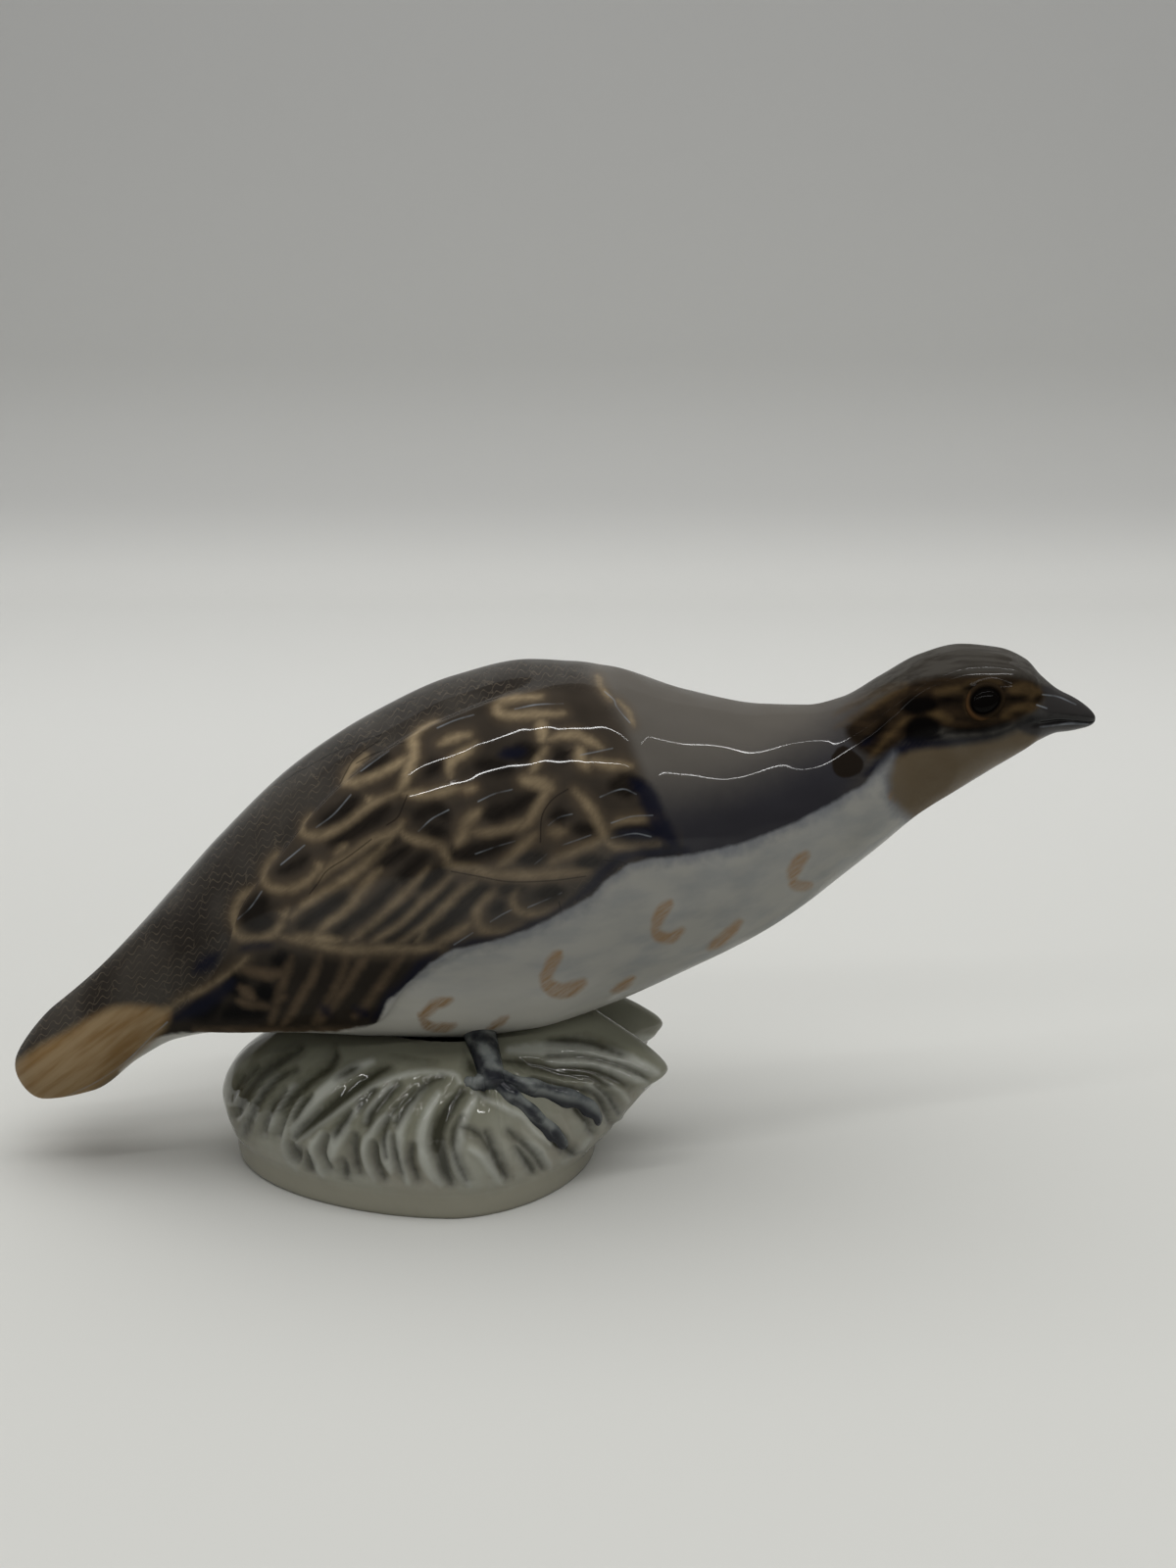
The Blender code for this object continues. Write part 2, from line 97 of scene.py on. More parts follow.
class Finish:
    """A material, built from one Principled shader and the nodes that feed it."""

    def __init__(self, name, **sockets):
        self.material = bpy.data.materials.new(name)
        self.material.use_nodes = True
        self.tree = self.material.node_tree
        self.shader = self.tree.nodes["Principled BSDF"]
        for socket, value in sockets.items():
            self.shader.inputs[socket.replace("_", " ")].default_value = value

    def node(self, kind, settings=(), values=(), output=0):
        """Adds a node: its settings first, then a value or a link for each socket named or numbered."""
        made = self.tree.nodes.new(kind)
        for name, setting in dict(settings).items():
            setattr(made, name, setting)
        for key, value in dict(values).items():
            if isinstance(value, Value):
                self.tree.links.new(value.socket, made.inputs[key])
            else:
                made.inputs[key].default_value = value
        return Value(self, made.outputs[output])

    def feed(self, socket, value):
        """Links a value to one of the shader's own sockets."""
        self.tree.links.new(value.socket, self.shader.inputs[socket])

    def field(self, name):
        """A value painted on the piece's points."""
        return self.node("ShaderNodeAttribute", {"attribute_name": name}, {}, "Fac")

    def place(self, scale=(1, 1, 1)):
        """The place on the piece in metres, stretched along each axis."""
        here = self.node("ShaderNodeTexCoord", {}, {}, "Object")
        return self.node("ShaderNodeVectorMath", {"operation": "MULTIPLY"}, {0: here, 1: scale})

    def axis(self, name):
        """One coordinate of the place on the piece."""
        here = self.node("ShaderNodeTexCoord", {}, {}, "Object")
        return self.node("ShaderNodeSeparateXYZ", {}, {0: here}, name)

    def noise(self, where, scale, detail=2.0, rough=0.5):
        """Cloudy noise from 0 to 1 about a middle of 0.5."""
        sockets = {"Vector": where, "Scale": scale, "Detail": detail, "Roughness": rough}
        return self.node("ShaderNodeTexNoise", {}, sockets)

    def soft(self, value, low, high):
        """0 below low, 1 above high and a soft step between."""
        sockets = {"Value": value, "From Min": low, "From Max": high}
        return self.node("ShaderNodeMapRange", {"interpolation_type": "SMOOTHSTEP"}, sockets)

    def mix(self, share, under, over):
        """One colour painted over another by a share."""
        return self.node("ShaderNodeMix", {"data_type": "RGBA"}, {0: share, 6: under, 7: over}, 2)

    def coats(self, under, *coats):
        """Paints laid over the first one in turn, each given by its share and its colour."""
        for share, over in coats:
            under = self.mix(share, under, over)
        return under

    def ripple(self, height, distance, strength):
        """A slight unevenness of the surface, as a bump for the shader's normal."""
        sockets = {"Height": height, "Distance": distance, "Strength": strength}
        self.feed("Normal", self.node("ShaderNodeBump", {}, sockets))


def shade(red, grass_with_painted_light, blue):
    """A paint colour as it shows on a screen, from 0 to 255, in the shader's own scale."""
    parts = (part / 255 for part in (red, grass_with_painted_light, blue))
    return (*(c / 12.92 if c < 0.04045 else ((c + 0.055) / 1.055) ** 2.4 for c in parts), 1.0)


def smooth_mesh(name, points, faces, material):
    """A smooth-shaded mesh piece in one material."""
    mesh = bpy.data.meshes.new(name)
    mesh.from_pydata(points, [], faces)
    mesh.shade_smooth()
    mesh.materials.append(material)
    piece = bpy.data.objects.new(name, mesh)
    bpy.context.collection.objects.link(piece)
    return piece


SWEEP_WIDE, SWEEP_NEAR, SWEEP_BACK, SWEEP_HIGH, SWEEP_BEND = 4.0, -1.6, 1.27, 2.6, 0.2
BEND_STEPS = 12
# The paper's painted shade: darker at the near edge and up the back
PAPER_NEAR_SHADE, PAPER = shade(205, 205, 200), shade(219, 219, 215)
PAPER_BACK_SHADE, PAPER_TOP_SHADE = shade(194, 194, 191), shade(180, 180, 178)
paper = Finish("paper", Roughness=0.85)
height = paper.axis("Z")
grain = (paper.noise(paper.place(), 3.0) - 0.5) * 0.05
paper_with_painted_shade = paper.coats(
    PAPER_NEAR_SHADE,
    (paper.soft(paper.axis("Y"), -0.1, 0.6), PAPER),
    (paper.soft(height, -0.01, 0.085), PAPER_BACK_SHADE),
    (paper.soft(height, 0.08, 0.6) + grain, PAPER_TOP_SHADE),
)
paper.feed("Base Color", paper_with_painted_shade)
rows = [(SWEEP_NEAR, 0.0)]
for k in range(BEND_STEPS + 1):
    bend = math.pi / 2 * k / BEND_STEPS
    rows.append((SWEEP_BACK - SWEEP_BEND + SWEEP_BEND * math.sin(bend), SWEEP_BEND * (1 - math.cos(bend))))
rows.append((SWEEP_BACK, SWEEP_HIGH))
points = [(x, y, z) for y, z in rows for x in (-SWEEP_WIDE / 2, SWEEP_WIDE / 2)]
faces = [(2 * k, 2 * k + 1, 2 * k + 3, 2 * k + 2) for k in range(len(rows) - 1)]
smooth_mesh("sweep", points, faces, paper.material)


# The light: one broad soft panel overhead, a dim even room, and two thin tubes
# The panel isn't mirrored in the glaze. The tubes draw the long highlight lines on it.
def lamp(name, at, towards, size, watts, mirrored=True):
    """An area light of a size along x and across, aimed at a place."""
    light = bpy.data.lights.new(name, "AREA")
    light.shape = "RECTANGLE"
    light.size, light.size_y = size
    light.energy = watts
    piece = bpy.data.objects.new(name, light)
    piece.location = at
    piece.rotation_euler = (Vector(towards) - Vector(at)).to_track_quat("-Z", "Y").to_euler()
    piece.visible_glossy = mirrored
    bpy.context.collection.objects.link(piece)


BACK_OF_BIRD = (0.0, 0.0, 0.06)
ROOM_COLOUR, ROOM_STRENGTH = (0.62, 0.62, 0.63, 1.0), 0.17
lamp("panel", (0.0, 0.45, 1.6), (0.0, 0.4, 0.0), (3.2, 2.4), 39.5, mirrored=False)
lamp("tube_front", (0.1, -0.85, 0.9), BACK_OF_BIRD, (1.6, 0.012), 2.6)
lamp("tube_back", (0.1, -0.36, 1.0), BACK_OF_BIRD, (1.6, 0.01), 2.0)
room = bpy.data.worlds.new("room")
room.use_nodes = True
room.node_tree.nodes["Background"].inputs["Color"].default_value = ROOM_COLOUR
room.node_tree.nodes["Background"].inputs["Strength"].default_value = ROOM_STRENGTH
bpy.context.scene.world = room

# The bird: the slip-cast body, from the tail to the beak, with its folded wings
# One hollow skin of porcelain about 4 mm thick, cast in a mould, painted under a clear gloss glaze.
MM = 0.001
# Upright sections in millimetres: x, top, bottom, half width, the height of the widest place as a
# share, and the power of the superellipse
SECTIONS = [
    (-125.0, 28.5, 16.8, 10.0, 0.45, 2.3), (-117.0, 34.5, 14.7, 13.5, 0.42, 2.3),
    (-105.0, 44.6, 16.9, 15.5, 0.40, 2.3), (-94.5, 55.3, 24.6, 17.0, 0.42, 2.2),
    (-85.0, 65.8, 29.6, 20.0, 0.45, 2.1), (-75.0, 76.8, 31.4, 24.0, 0.48, 2.1),
    (-57.0, 93.8, 31.5, 29.5, 0.50, 2.1), (-38.5, 105.8, 31.0, 33.5, 0.50, 2.15),
    (-20.5, 114.0, 30.5, 35.0, 0.50, 2.15), (-3.0, 117.8, 32.3, 34.5, 0.51, 2.15),
    (14.5, 116.4, 38.0, 31.5, 0.51, 2.1), (32.5, 111.0, 46.0, 27.0, 0.51, 2.05),
    (50.0, 107.8, 54.8, 21.5, 0.50, 2.0), (60.0, 107.6, 61.6, 18.5, 0.50, 2.0),
    (68.0, 109.5, 68.1, 16.5, 0.50, 2.0), (76.5, 114.5, 75.1, 15.2, 0.50, 2.0),
    (85.0, 119.3, 82.5, 14.4, 0.50, 2.0), (94.0, 121.6, 88.5, 14.0, 0.48, 2.0),
    (102.5, 120.8, 94.0, 12.8, 0.47, 2.0), (108.5, 118.3, 97.6, 10.2, 0.46, 2.0),
    (112.0, 114.7, 99.8, 7.4, 0.45, 2.0), (116.5, 111.2, 101.6, 5.4, 0.48, 2.0),
    (121.0, 109.2, 101.9, 4.2, 0.50, 2.0), (125.0, 107.6, 101.4, 3.4, 0.52, 2.0),
]
TAIL_ROUNDING, BEAK_ROUNDING = 9.0, 7.0
# x, and the angles from the top of the back, of the wing's upper and lower edge, then of brow and mouth
LINES = [
    (-125.0, 60.0, 112.0), (-105.0, 68.0, 120.0), (-95.0, 90.0, 126.0), (-88.0, 111.0, 132.0),
    (-82.0, 110.0, 137.0), (-75.0, 101.0, 140.0), (-69.0, 90.0, 142.0), (-64.0, 72.0, 143.0),
    (-57.0, 62.0, 144.0), (-45.0, 46.0, 143.0), (-36.0, 39.0, 134.0), (-28.0, 35.0, 114.0),
    (-18.0, 32.0, 106.0), (-3.0, 27.0, 101.0), (9.0, 18.0, 97.0), (16.0, 31.0, 91.0),
    (22.0, 58.0, 88.0), (26.0, 75.0, 89.0), (31.0, 82.0, 93.0), (42.0, 68.0, 102.0),
    (60.0, 54.0, 112.0), (80.0, 43.0, 114.0), (98.0, 40.0, 106.0), (108.0, 46.0, 103.0),
    (117.0, 50.0, 107.0), (125.0, 55.0, 113.0),
]
# How high each form stands over the body, or how deep the mouth lies in it, along x
WING_FRONT = 31.0
WING_RISE = [
    (-88.0, 0.0), (-82.0, 0.9), (-66.0, 1.5), (-20.0, 1.4), (12.0, 1.2), (24.0, 0.9), (WING_FRONT, 0.0),
]
BROW_RISE = [(72.0, 0.0), (84.0, 0.5), (104.0, 0.6), (111.0, 0.0)]
MOUTH_DEPTH = [(104.0, 0.0), (109.0, 0.5), (118.0, 0.6), (124.0, 0.2)]
BROW_HALF_TURN, MOUTH_HALF_TURN = 9.0, 6.0
# The wing's edge is a step this many degrees wide each way, and a softer one towards the shoulder
EDGE_TURN, SOFTER_EDGE_TURN, SHOULDER_X = 3.0, 16.0, (-10.0, 18.0)
# Soft folds of the mantle, from where they start to where they are full, fade and end
FOLD_RISE, FOLD_LENGTH, FOLD_TURN, FOLD_SLANT = 0.12, 3.4, 8.0, 1.6
MANTLE_X, MANTLE_TURN = (28.0, 42.0, 62.0, 84.0), (8.0, 30.0, 70.0, 92.0)
# The feathers' buff edges stand a little proud, by how near their strokes are in pixels
FEATHER_RISE, FEATHER_EDGE, WING_EDGE = 0.05, (-12.0, 6.0), (0.0, 1.5)
TOP_OF_HEAD = 121.59


def steady(table, at):
    """The monotone cubic through (x, value) points, at each place."""
    x, y = np.array(table, float).T
    width = np.diff(x)
    rise = np.diff(y) / width
    slope = np.concatenate([rise[:1], np.zeros(len(x) - 2), rise[-1:]])
    same = rise[:-1] * rise[1:] > 0
    before, after = rise[:-1][same], rise[1:][same]
    share_a = (2 * width[1:] + width[:-1])[same]
    share_b = (width[1:] + 2 * width[:-1])[same]
    slope[1:-1][same] = (share_a + share_b) / (share_a / before + share_b / after)
    at = np.clip(at, x[0], x[-1])
    i = np.clip(np.searchsorted(x, at, "right") - 1, 0, len(width) - 1)
    t = (at - x[i]) / width[i]
    return (
        y[i] * (1 + 2 * t) * (1 - t) ** 2
        + slope[i] * width[i] * t * (1 - t) ** 2
        + y[i + 1] * t * t * (3 - 2 * t)
        - slope[i + 1] * width[i] * t * t * (1 - t)
    )


def section(x, column):
    """One column of the sections' table at x."""
    return steady([(row[0], row[column]) for row in SECTIONS], x)


def skin(x, turn):
    """The bird's smooth skin at x and at an angle in degrees from the top of the back, in millimetres."""
    top, bottom = section(x, 1), section(x, 2)
    level = bottom + (top - bottom) * section(x, 4)
    keep = np.ones_like(x)
    for tip, length in ((SECTIONS[0][0], TAIL_ROUNDING), (SECTIONS[-1][0], BEAK_ROUNDING)):
        inside = np.minimum(1, abs(x - tip) / length)
        keep = keep * np.sqrt(np.maximum(0, 1 - (1 - inside) ** 2))
    power = 2 / section(x, 5)
    up, out = np.cos(np.radians(turn)), np.sin(np.radians(turn))
    reach = np.where(up > 0, top - level, level - bottom)
    z = level + reach * keep * np.sign(up) * abs(up) ** power
    y = section(x, 3) * keep * np.sign(out) * abs(out) ** power
    return np.stack([x, y, z], axis=-1)


def skin_normal(x, turn):
    """The outward normal of the smooth skin."""
    inner = np.clip(x, SECTIONS[0][0] + 0.4, SECTIONS[-1][0] - 0.4)
    along = skin(inner + 0.2, turn) - skin(inner - 0.2, turn)
    around = skin(inner, turn + 1.0) - skin(inner, turn - 1.0)
    normal = np.cross(along, around)
    return normal / np.linalg.norm(normal, axis=-1, keepdims=True)


def step(value, low, high):
    """A soft step from 0 at low to 1 at high."""
    t = np.clip((value - low) / (high - low), 0, 1)
    return t * t * (3 - 2 * t)


def band(value, start, full, fade, end):
    """1 from full to fade, with a soft step at each end."""
    return step(value, start, full) * step(-value, -end, -fade)


def spread(zones):
    """Places along a line, from (end, steps) zones, the first of which only starts it."""
    places = [np.array([zones[0][0]])]
    for (start, _), (end, steps) in zip(zones, zones[1:]):
        places.append(start + (end - start) * np.arange(1, steps + 1) / steps)
    return np.concatenate(places)


# How fine the skin is, finest along the wing and the head and round the sides
ALONG = [
    (-124.98, 0), (-124.0, 4), (-116.0, 10), (-88.0, 32), (34.0, 168), (84.0, 42), (124.0, 66), (124.98, 5),
]
HALF_ROUND = [(0.0, 0), (24.0, 8), (146.0, 126), (180.0, 12)]
half_round = spread(HALF_ROUND)
x, turn = np.meshgrid(spread(ALONG), np.concatenate([half_round, 360 - half_round[-2:0:-1]]), indexing="ij")
side_turn = np.minimum(turn, 360 - turn)
upper = steady([(a, b) for a, b, _ in LINES], x)
lower = steady([(a, c) for a, _, c in LINES], x)
edge = EDGE_TURN + SOFTER_EDGE_TURN * step(x, *SHOULDER_X)
on_wing = step(side_turn, upper - edge, upper + edge) * step(lower - side_turn, -edge, edge)
relief = steady(WING_RISE, x) * on_wing
relief += steady(BROW_RISE, x) * np.exp(-(((side_turn - upper) / BROW_HALF_TURN) ** 2))
on_mantle = band(x, *MANTLE_X) * band(side_turn, *MANTLE_TURN)
relief += FOLD_RISE * on_mantle * np.sin(x / FOLD_LENGTH + FOLD_SLANT * np.sin(side_turn / FOLD_TURN))
relief -= steady(MOUTH_DEPTH, x) * np.exp(-(((side_turn - lower) / MOUTH_HALF_TURN) ** 2))

# How it is painted: brush strokes and patches, placed by where they show in the photograph, in its pixels
# The far side carries the same painting, mirrored.
FOCAL = LENS_MM / SENSOR_MM * FRAME_HIGH


def photo_place(spots):
    """Where places on the near side, in millimetres, show in the photograph."""
    away = np.stack([spots[..., 0], -abs(spots[..., 1]), spots[..., 2]], axis=-1) * MM - np.array(CAMERA_AT)
    deep = away[..., 1] * math.cos(CAMERA_TILT) - away[..., 2] * math.sin(CAMERA_TILT)
    high = away[..., 1] * math.sin(CAMERA_TILT) + away[..., 2] * math.cos(CAMERA_TILT)
    return FRAME_WIDE / 2 + FOCAL * away[..., 0] / deep, FRAME_HIGH / 2 - FOCAL * high / deep


def curve(knots, steps=5):
    """A smooth line through its knots."""
    knots = np.array(knots, float)
    padded = np.vstack([2 * knots[0] - knots[1], knots, 2 * knots[-1] - knots[-2]])
    line = []
    for a, b, c, d in zip(padded, padded[1:], padded[2:], padded[3:]):
        for k in range(steps):
            t = k / steps
            bent = (2 * a - 5 * b + 4 * c - d) * t**2 + (3 * b - a - 3 * c + d) * t**3
            line.append(0.5 * (2 * b + (c - a) * t + bent))
    return np.array(line + [knots[-1]])


def from_stretch(u, v, start, end):
    """The distance from a straight stretch of a line, the share of it passed, and the side it is seen on."""
    (ax, ay), (bx, by) = start, end
    dx, dy = bx - ax, by - ay
    square = dx * dx + dy * dy + 1e-9
    share = np.clip(((u - ax) * dx + (v - ay) * dy) / square, 0, 1)
    distance = np.hypot(u - ax - share * dx, v - ay - share * dy)
    return distance, share, ((u - ax) * dy - (v - ay) * dx) / math.sqrt(square)


# A stroke's half width at its ends is less by this share, and a brush reaches this many pixels
TAPER, BRUSH_REACH, THREAD_REACH = 0.55, 30.0, 9.0


def brush(u, v, strokes):
    """The most that any stroke covers a place: its half width, less towards its ends, minus the distance."""
    cover = np.full(u.shape, -BRUSH_REACH)
    for half_width, *knots in strokes:
        line = curve(knots) if len(knots) > 2 else np.array(knots, float)
        low, high = line.min(axis=0) - BRUSH_REACH, line.max(axis=0) + BRUSH_REACH
        near = (u > low[0]) & (u < high[0]) & (v > low[1]) & (v < high[1])
        for number, ends in enumerate(zip(line, line[1:])):
            distance, share, _ = from_stretch(u[near], v[near], *ends)
            from_middle = abs(2 * (number + share) / (len(line) - 1) - 1)
            cover[near] = np.maximum(cover[near], half_width * (1 - TAPER * from_middle**3) - distance)
    return cover


def thread(u, v, lines):
    """The signed distance across the nearest thin line, and how near it is: its reach less the distance."""
    across, near = np.full(u.shape, THREAD_REACH), np.zeros(u.shape)
    for knots in lines:
        line = curve(knots) if len(knots) > 2 else np.array(knots, float)
        for ends in zip(line, line[1:]):
            distance, _, side = from_stretch(u, v, *ends)
            closer = THREAD_REACH - distance > near
            across[closer] = side[closer]
            near[closer] = THREAD_REACH - distance[closer]
    return across, near


def patch(u, v, knots, smooth=True):
    """How far inside a closed outline a place lies, in pixels, and less than 0 outside it."""
    line = curve([*knots, knots[0]]) if smooth else np.array([*knots, knots[0]], float)
    inside, distance = np.zeros(u.shape, bool), np.full(u.shape, np.inf)
    for (ax, ay), (bx, by) in zip(line, line[1:]):
        distance = np.minimum(distance, from_stretch(u, v, (ax, ay), (bx, by))[0])
        if ay != by:
            inside ^= ((ay > v) != (by > v)) & (u < (bx - ax) * (v - ay) / (by - ay) + ax)
    return np.where(inside, distance, -distance)


# The pale breast and belly, and the rest of the underside
BREAST = [
    (913, 769), (894, 786), (882, 800), (849, 819), (812, 839), (756, 861), (700, 873), (660, 876),
    (640, 881), (618, 898), (604, 913), (571, 931), (536, 949), (500, 960), (462, 966), (440, 979),
    (420, 998), (396, 1017), (385, 1040), (340, 1047), (280, 1048), (225, 1049), (185, 1050), (168, 1055),
    (150, 1064), (120, 1090), (140, 1140), (400, 1140), (700, 1060), (960, 860), (918, 826), (908, 812),
    (906, 792),
]
# The warm buff side of the tail
TAIL_SIDE = [
    (16, 1084), (40, 1068), (66, 1054), (90, 1040), (110, 1030), (130, 1026), (160, 1028), (173, 1032),
    (168, 1046), (156, 1062), (128, 1090), (100, 1112), (66, 1132), (30, 1130), (4, 1104),
]
# The face, from the nape past the eye to the root of the beak, and the throat under it
FACE = [
    (862, 741), (884, 724), (906, 708), (930, 697), (960, 691), (1000, 689), (1040, 691), (1060, 699),
    (1068, 708), (1058, 722), (1046, 732), (1024, 740), (1000, 746), (975, 746), (955, 742), (930, 750),
    (905, 768), (890, 772), (876, 764), (866, 754),
]
THROAT = [
    (912, 770), (940, 762), (975, 758), (1010, 755), (1040, 746), (1070, 742), (1100, 744), (1060, 770),
    (1000, 810), (940, 850), (918, 832), (910, 812), (906, 792),
]
BEAK = [
    (1062, 702), (1080, 700), (1130, 720), (1130, 752), (1060, 752), (1040, 742), (1056, 728), (1066, 714),
]
# The dark stripe from the gape down the side of the neck, the ear patch, the lobe under it and the lore
STRIPES = [
    (5.0, (1112, 736), (1080, 735), (1052, 737), (1034, 742)),
    (5.0, (1040, 740), (1020, 749), (1000, 753), (975, 756), (950, 758), (930, 761), (912, 768), (898, 779),
     (884, 790)),
    (10.0, (924, 722), (938, 720), (953, 718)),
    (5.0, (984, 703), (1003, 700), (1022, 704)),
    (13.0, (930, 753), (940, 742), (954, 745)),
    (7.0, (922, 757), (940, 752), (962, 752)),
    (3.0, (952, 716), (970, 714), (986, 714)),
    (3.0, (1022, 713), (1034, 713), (1048, 711)),
    (4.0, (964, 748), (985, 746), (1010, 745), (1030, 739)),
    (3.5, (1057, 714), (1063, 710)),
    (4.0, (880, 760), (892, 750), (904, 736)),
]
# The paler brown streaks of the face and nape
FACE_STREAKS = [
    (7.0, (1034, 704), (1048, 705), (1064, 710)),
    (3.0, (984, 701), (1000, 696), (1020, 697)),
    (3.5, (986, 711), (989, 722), (998, 730), (1012, 732)),
    (4.0, (1024, 730), (1038, 722), (1052, 722), (1064, 720)),
    (3.5, (956, 706), (975, 704), (990, 704)),
    (4.0, (948, 727), (958, 730), (970, 734)),
    (2.5, (884, 778), (896, 764), (908, 750), (920, 738), (930, 732)),
    (3.5, (850, 730), (875, 716), (900, 704), (925, 697)),
    (3.0, (852, 742), (878, 727), (905, 711), (925, 703)),
]
NECK_PATCH = [(848, 772), (858, 761), (870, 766), (881, 777), (878, 788), (862, 794), (851, 788)]
# The buff edges of the wing's feathers, from the shoulder back
BUFF = [
    (5.5, (552, 715), (535, 716), (520, 718), (510, 724), (511, 731), (524, 734), (546, 733), (574, 731)),
    (7.0, (553, 738), (552, 748), (554, 758)),
    (5.0, (560, 757), (580, 752), (600, 758), (612, 765)),
    (6.5, (590, 765), (592, 776), (600, 785)),
    (8.0, (532, 797), (548, 800), (562, 806)),
    (3.0, (610, 690), (613, 702), (622, 716)),
    (2.5, (630, 716), (640, 726), (646, 740)),
    (5.5, (600, 778), (620, 782), (642, 783)),
    (4.5, (557, 765), (548, 778), (542, 790)),
    (5.5, (486, 762), (477, 770), (464, 778), (460, 784), (461, 794)),
    (4.5, (450, 762), (466, 756), (482, 753)),
    (5.0, (472, 806), (486, 806)),
    (6.0, (414, 812), (440, 812), (470, 805)),
    (6.5, (446, 737), (432, 745), (424, 757), (425, 768), (423, 780), (418, 791), (415, 800), (409, 808)),
    (5.0, (374, 771), (362, 781), (354, 792), (355, 801), (368, 801), (384, 795), (400, 787), (414, 779),
     (424, 772)),
    (5.0, (317, 832), (311, 842), (315, 853), (330, 854), (346, 848), (362, 838), (374, 828), (388, 819),
     (412, 809)),
    (6.0, (378, 821), (382, 817)),
    (5.0, (283, 871), (273, 883), (271, 895), (280, 905), (297, 907), (312, 902), (322, 894), (330, 884)),
    (6.5, (327, 886), (331, 882)),
    (5.0, (345, 872), (356, 863)),
    (5.0, (413, 839), (407, 847), (397, 853), (380, 860), (362, 872), (340, 885), (328, 898)),
    (5.0, (260, 905), (247, 915), (240, 928), (240, 943), (249, 954), (263, 957), (280, 952), (289, 942),
     (297, 927)),
    (6.0, (292, 935), (295, 930)),
    (5.0, (410, 847), (418, 855), (430, 858), (442, 860), (452, 865), (457, 875), (462, 883)),
    (5.0, (301, 934), (314, 922), (333, 910), (350, 900), (365, 890), (380, 876), (395, 862), (405, 850)),
    (5.0, (286, 953), (313, 958), (330, 962), (347, 965), (363, 966), (397, 965), (430, 965), (450, 962)),
    (6.0, (304, 953), (328, 956), (350, 957)),
    (5.0, (322, 954), (337, 940), (350, 931), (361, 921), (372, 906), (381, 895), (391, 886)),
    (4.5, (358, 958), (380, 942), (397, 926), (413, 912), (427, 898), (438, 886)),
    (4.5, (382, 958), (405, 944), (421, 930), (433, 918), (447, 906), (461, 892)),
    (4.5, (408, 959), (430, 945), (447, 932), (463, 917), (472, 905)),
    (5.0, (484, 899), (470, 908), (457, 920), (440, 936), (426, 958)),
    (6.5, (455, 882), (480, 885), (500, 890), (540, 892), (570, 890), (600, 888)),
    (7.0, (490, 828), (479, 838), (473, 852), (468, 862)),
    (5.5, (483, 848), (500, 850), (520, 845), (538, 838)),
    (5.5, (562, 800), (555, 812), (547, 825), (540, 838), (530, 846)),
    (5.5, (547, 850), (533, 863), (523, 873), (507, 885)),
    (5.5, (560, 880), (575, 872), (590, 866), (605, 860), (617, 853)),
    (6.5, (585, 808), (597, 820), (606, 833), (612, 845), (616, 858)),
    (6.0, (560, 849), (575, 848)),
    (4.0, (622, 843), (632, 838), (650, 836), (670, 834)),
    (4.5, (616, 858), (630, 864), (650, 866), (672, 862)),
    (4.5, (528, 905), (523, 915), (527, 925), (540, 931), (556, 930), (570, 924)),
    (5.5, (505, 908), (492, 918), (486, 930), (489, 942), (501, 949), (516, 949), (532, 943)),
    (5.0, (448, 958), (465, 950), (480, 940)),
    (2.6, (172, 1031), (184, 1021), (202, 1012), (222, 1001), (242, 986), (256, 974)),
]
# The greyer bars across the flight feathers, and the pale strip under them
BARS = [
    (4.0, (300, 974), (294, 990), (286, 1012), (278, 1038)),
    (4.0, (330, 970), (323, 990), (313, 1007), (303, 1023), (290, 1040)),
    (4.0, (356, 971), (350, 992), (340, 1012), (322, 1038)),
    (4.5, (378, 970), (364, 988), (353, 1005), (340, 1021), (327, 1037)),
    (4.0, (413, 970), (400, 987), (390, 1000), (377, 1017), (363, 1032)),
    (5.0, (252, 986), (266, 989), (284, 991), (298, 988)),
    (5.0, (248, 1004), (261, 1015)),
    (3.5, (245, 1017), (260, 1020), (275, 1022)),
    (4.5, (284, 1012), (292, 1012)),
    (4.0, (200, 1047), (240, 1047), (300, 1047), (378, 1046)),
    (6.0, (470, 808), (486, 804)),
]
# The navy tint at the wing's front and lower edge and on the folded flight feathers
NAVY = [
    (10.0, (646, 799), (660, 812), (672, 840), (690, 864)),
    (5.0, (630, 849), (656, 850), (678, 850)),
    (6.0, (700, 868), (672, 869), (646, 871), (628, 878), (613, 891), (601, 905), (586, 917)),
    (4.5, (586, 917), (570, 927), (554, 937), (533, 946), (515, 954), (490, 958), (462, 962)),
    (5.5, (446, 970), (428, 983), (416, 1000), (400, 1012), (392, 1024), (382, 1034)),
    (7.0, (180, 1036), (204, 1024), (222, 1012), (240, 998)),
    (4.0, (250, 966), (264, 962), (280, 962)),
    (5.0, (330, 1022), (338, 1030)),
    (5.0, (364, 1024), (376, 1030)),
    (6.0, (512, 772), (535, 769)),
    (7.0, (200, 990), (222, 975)),
]
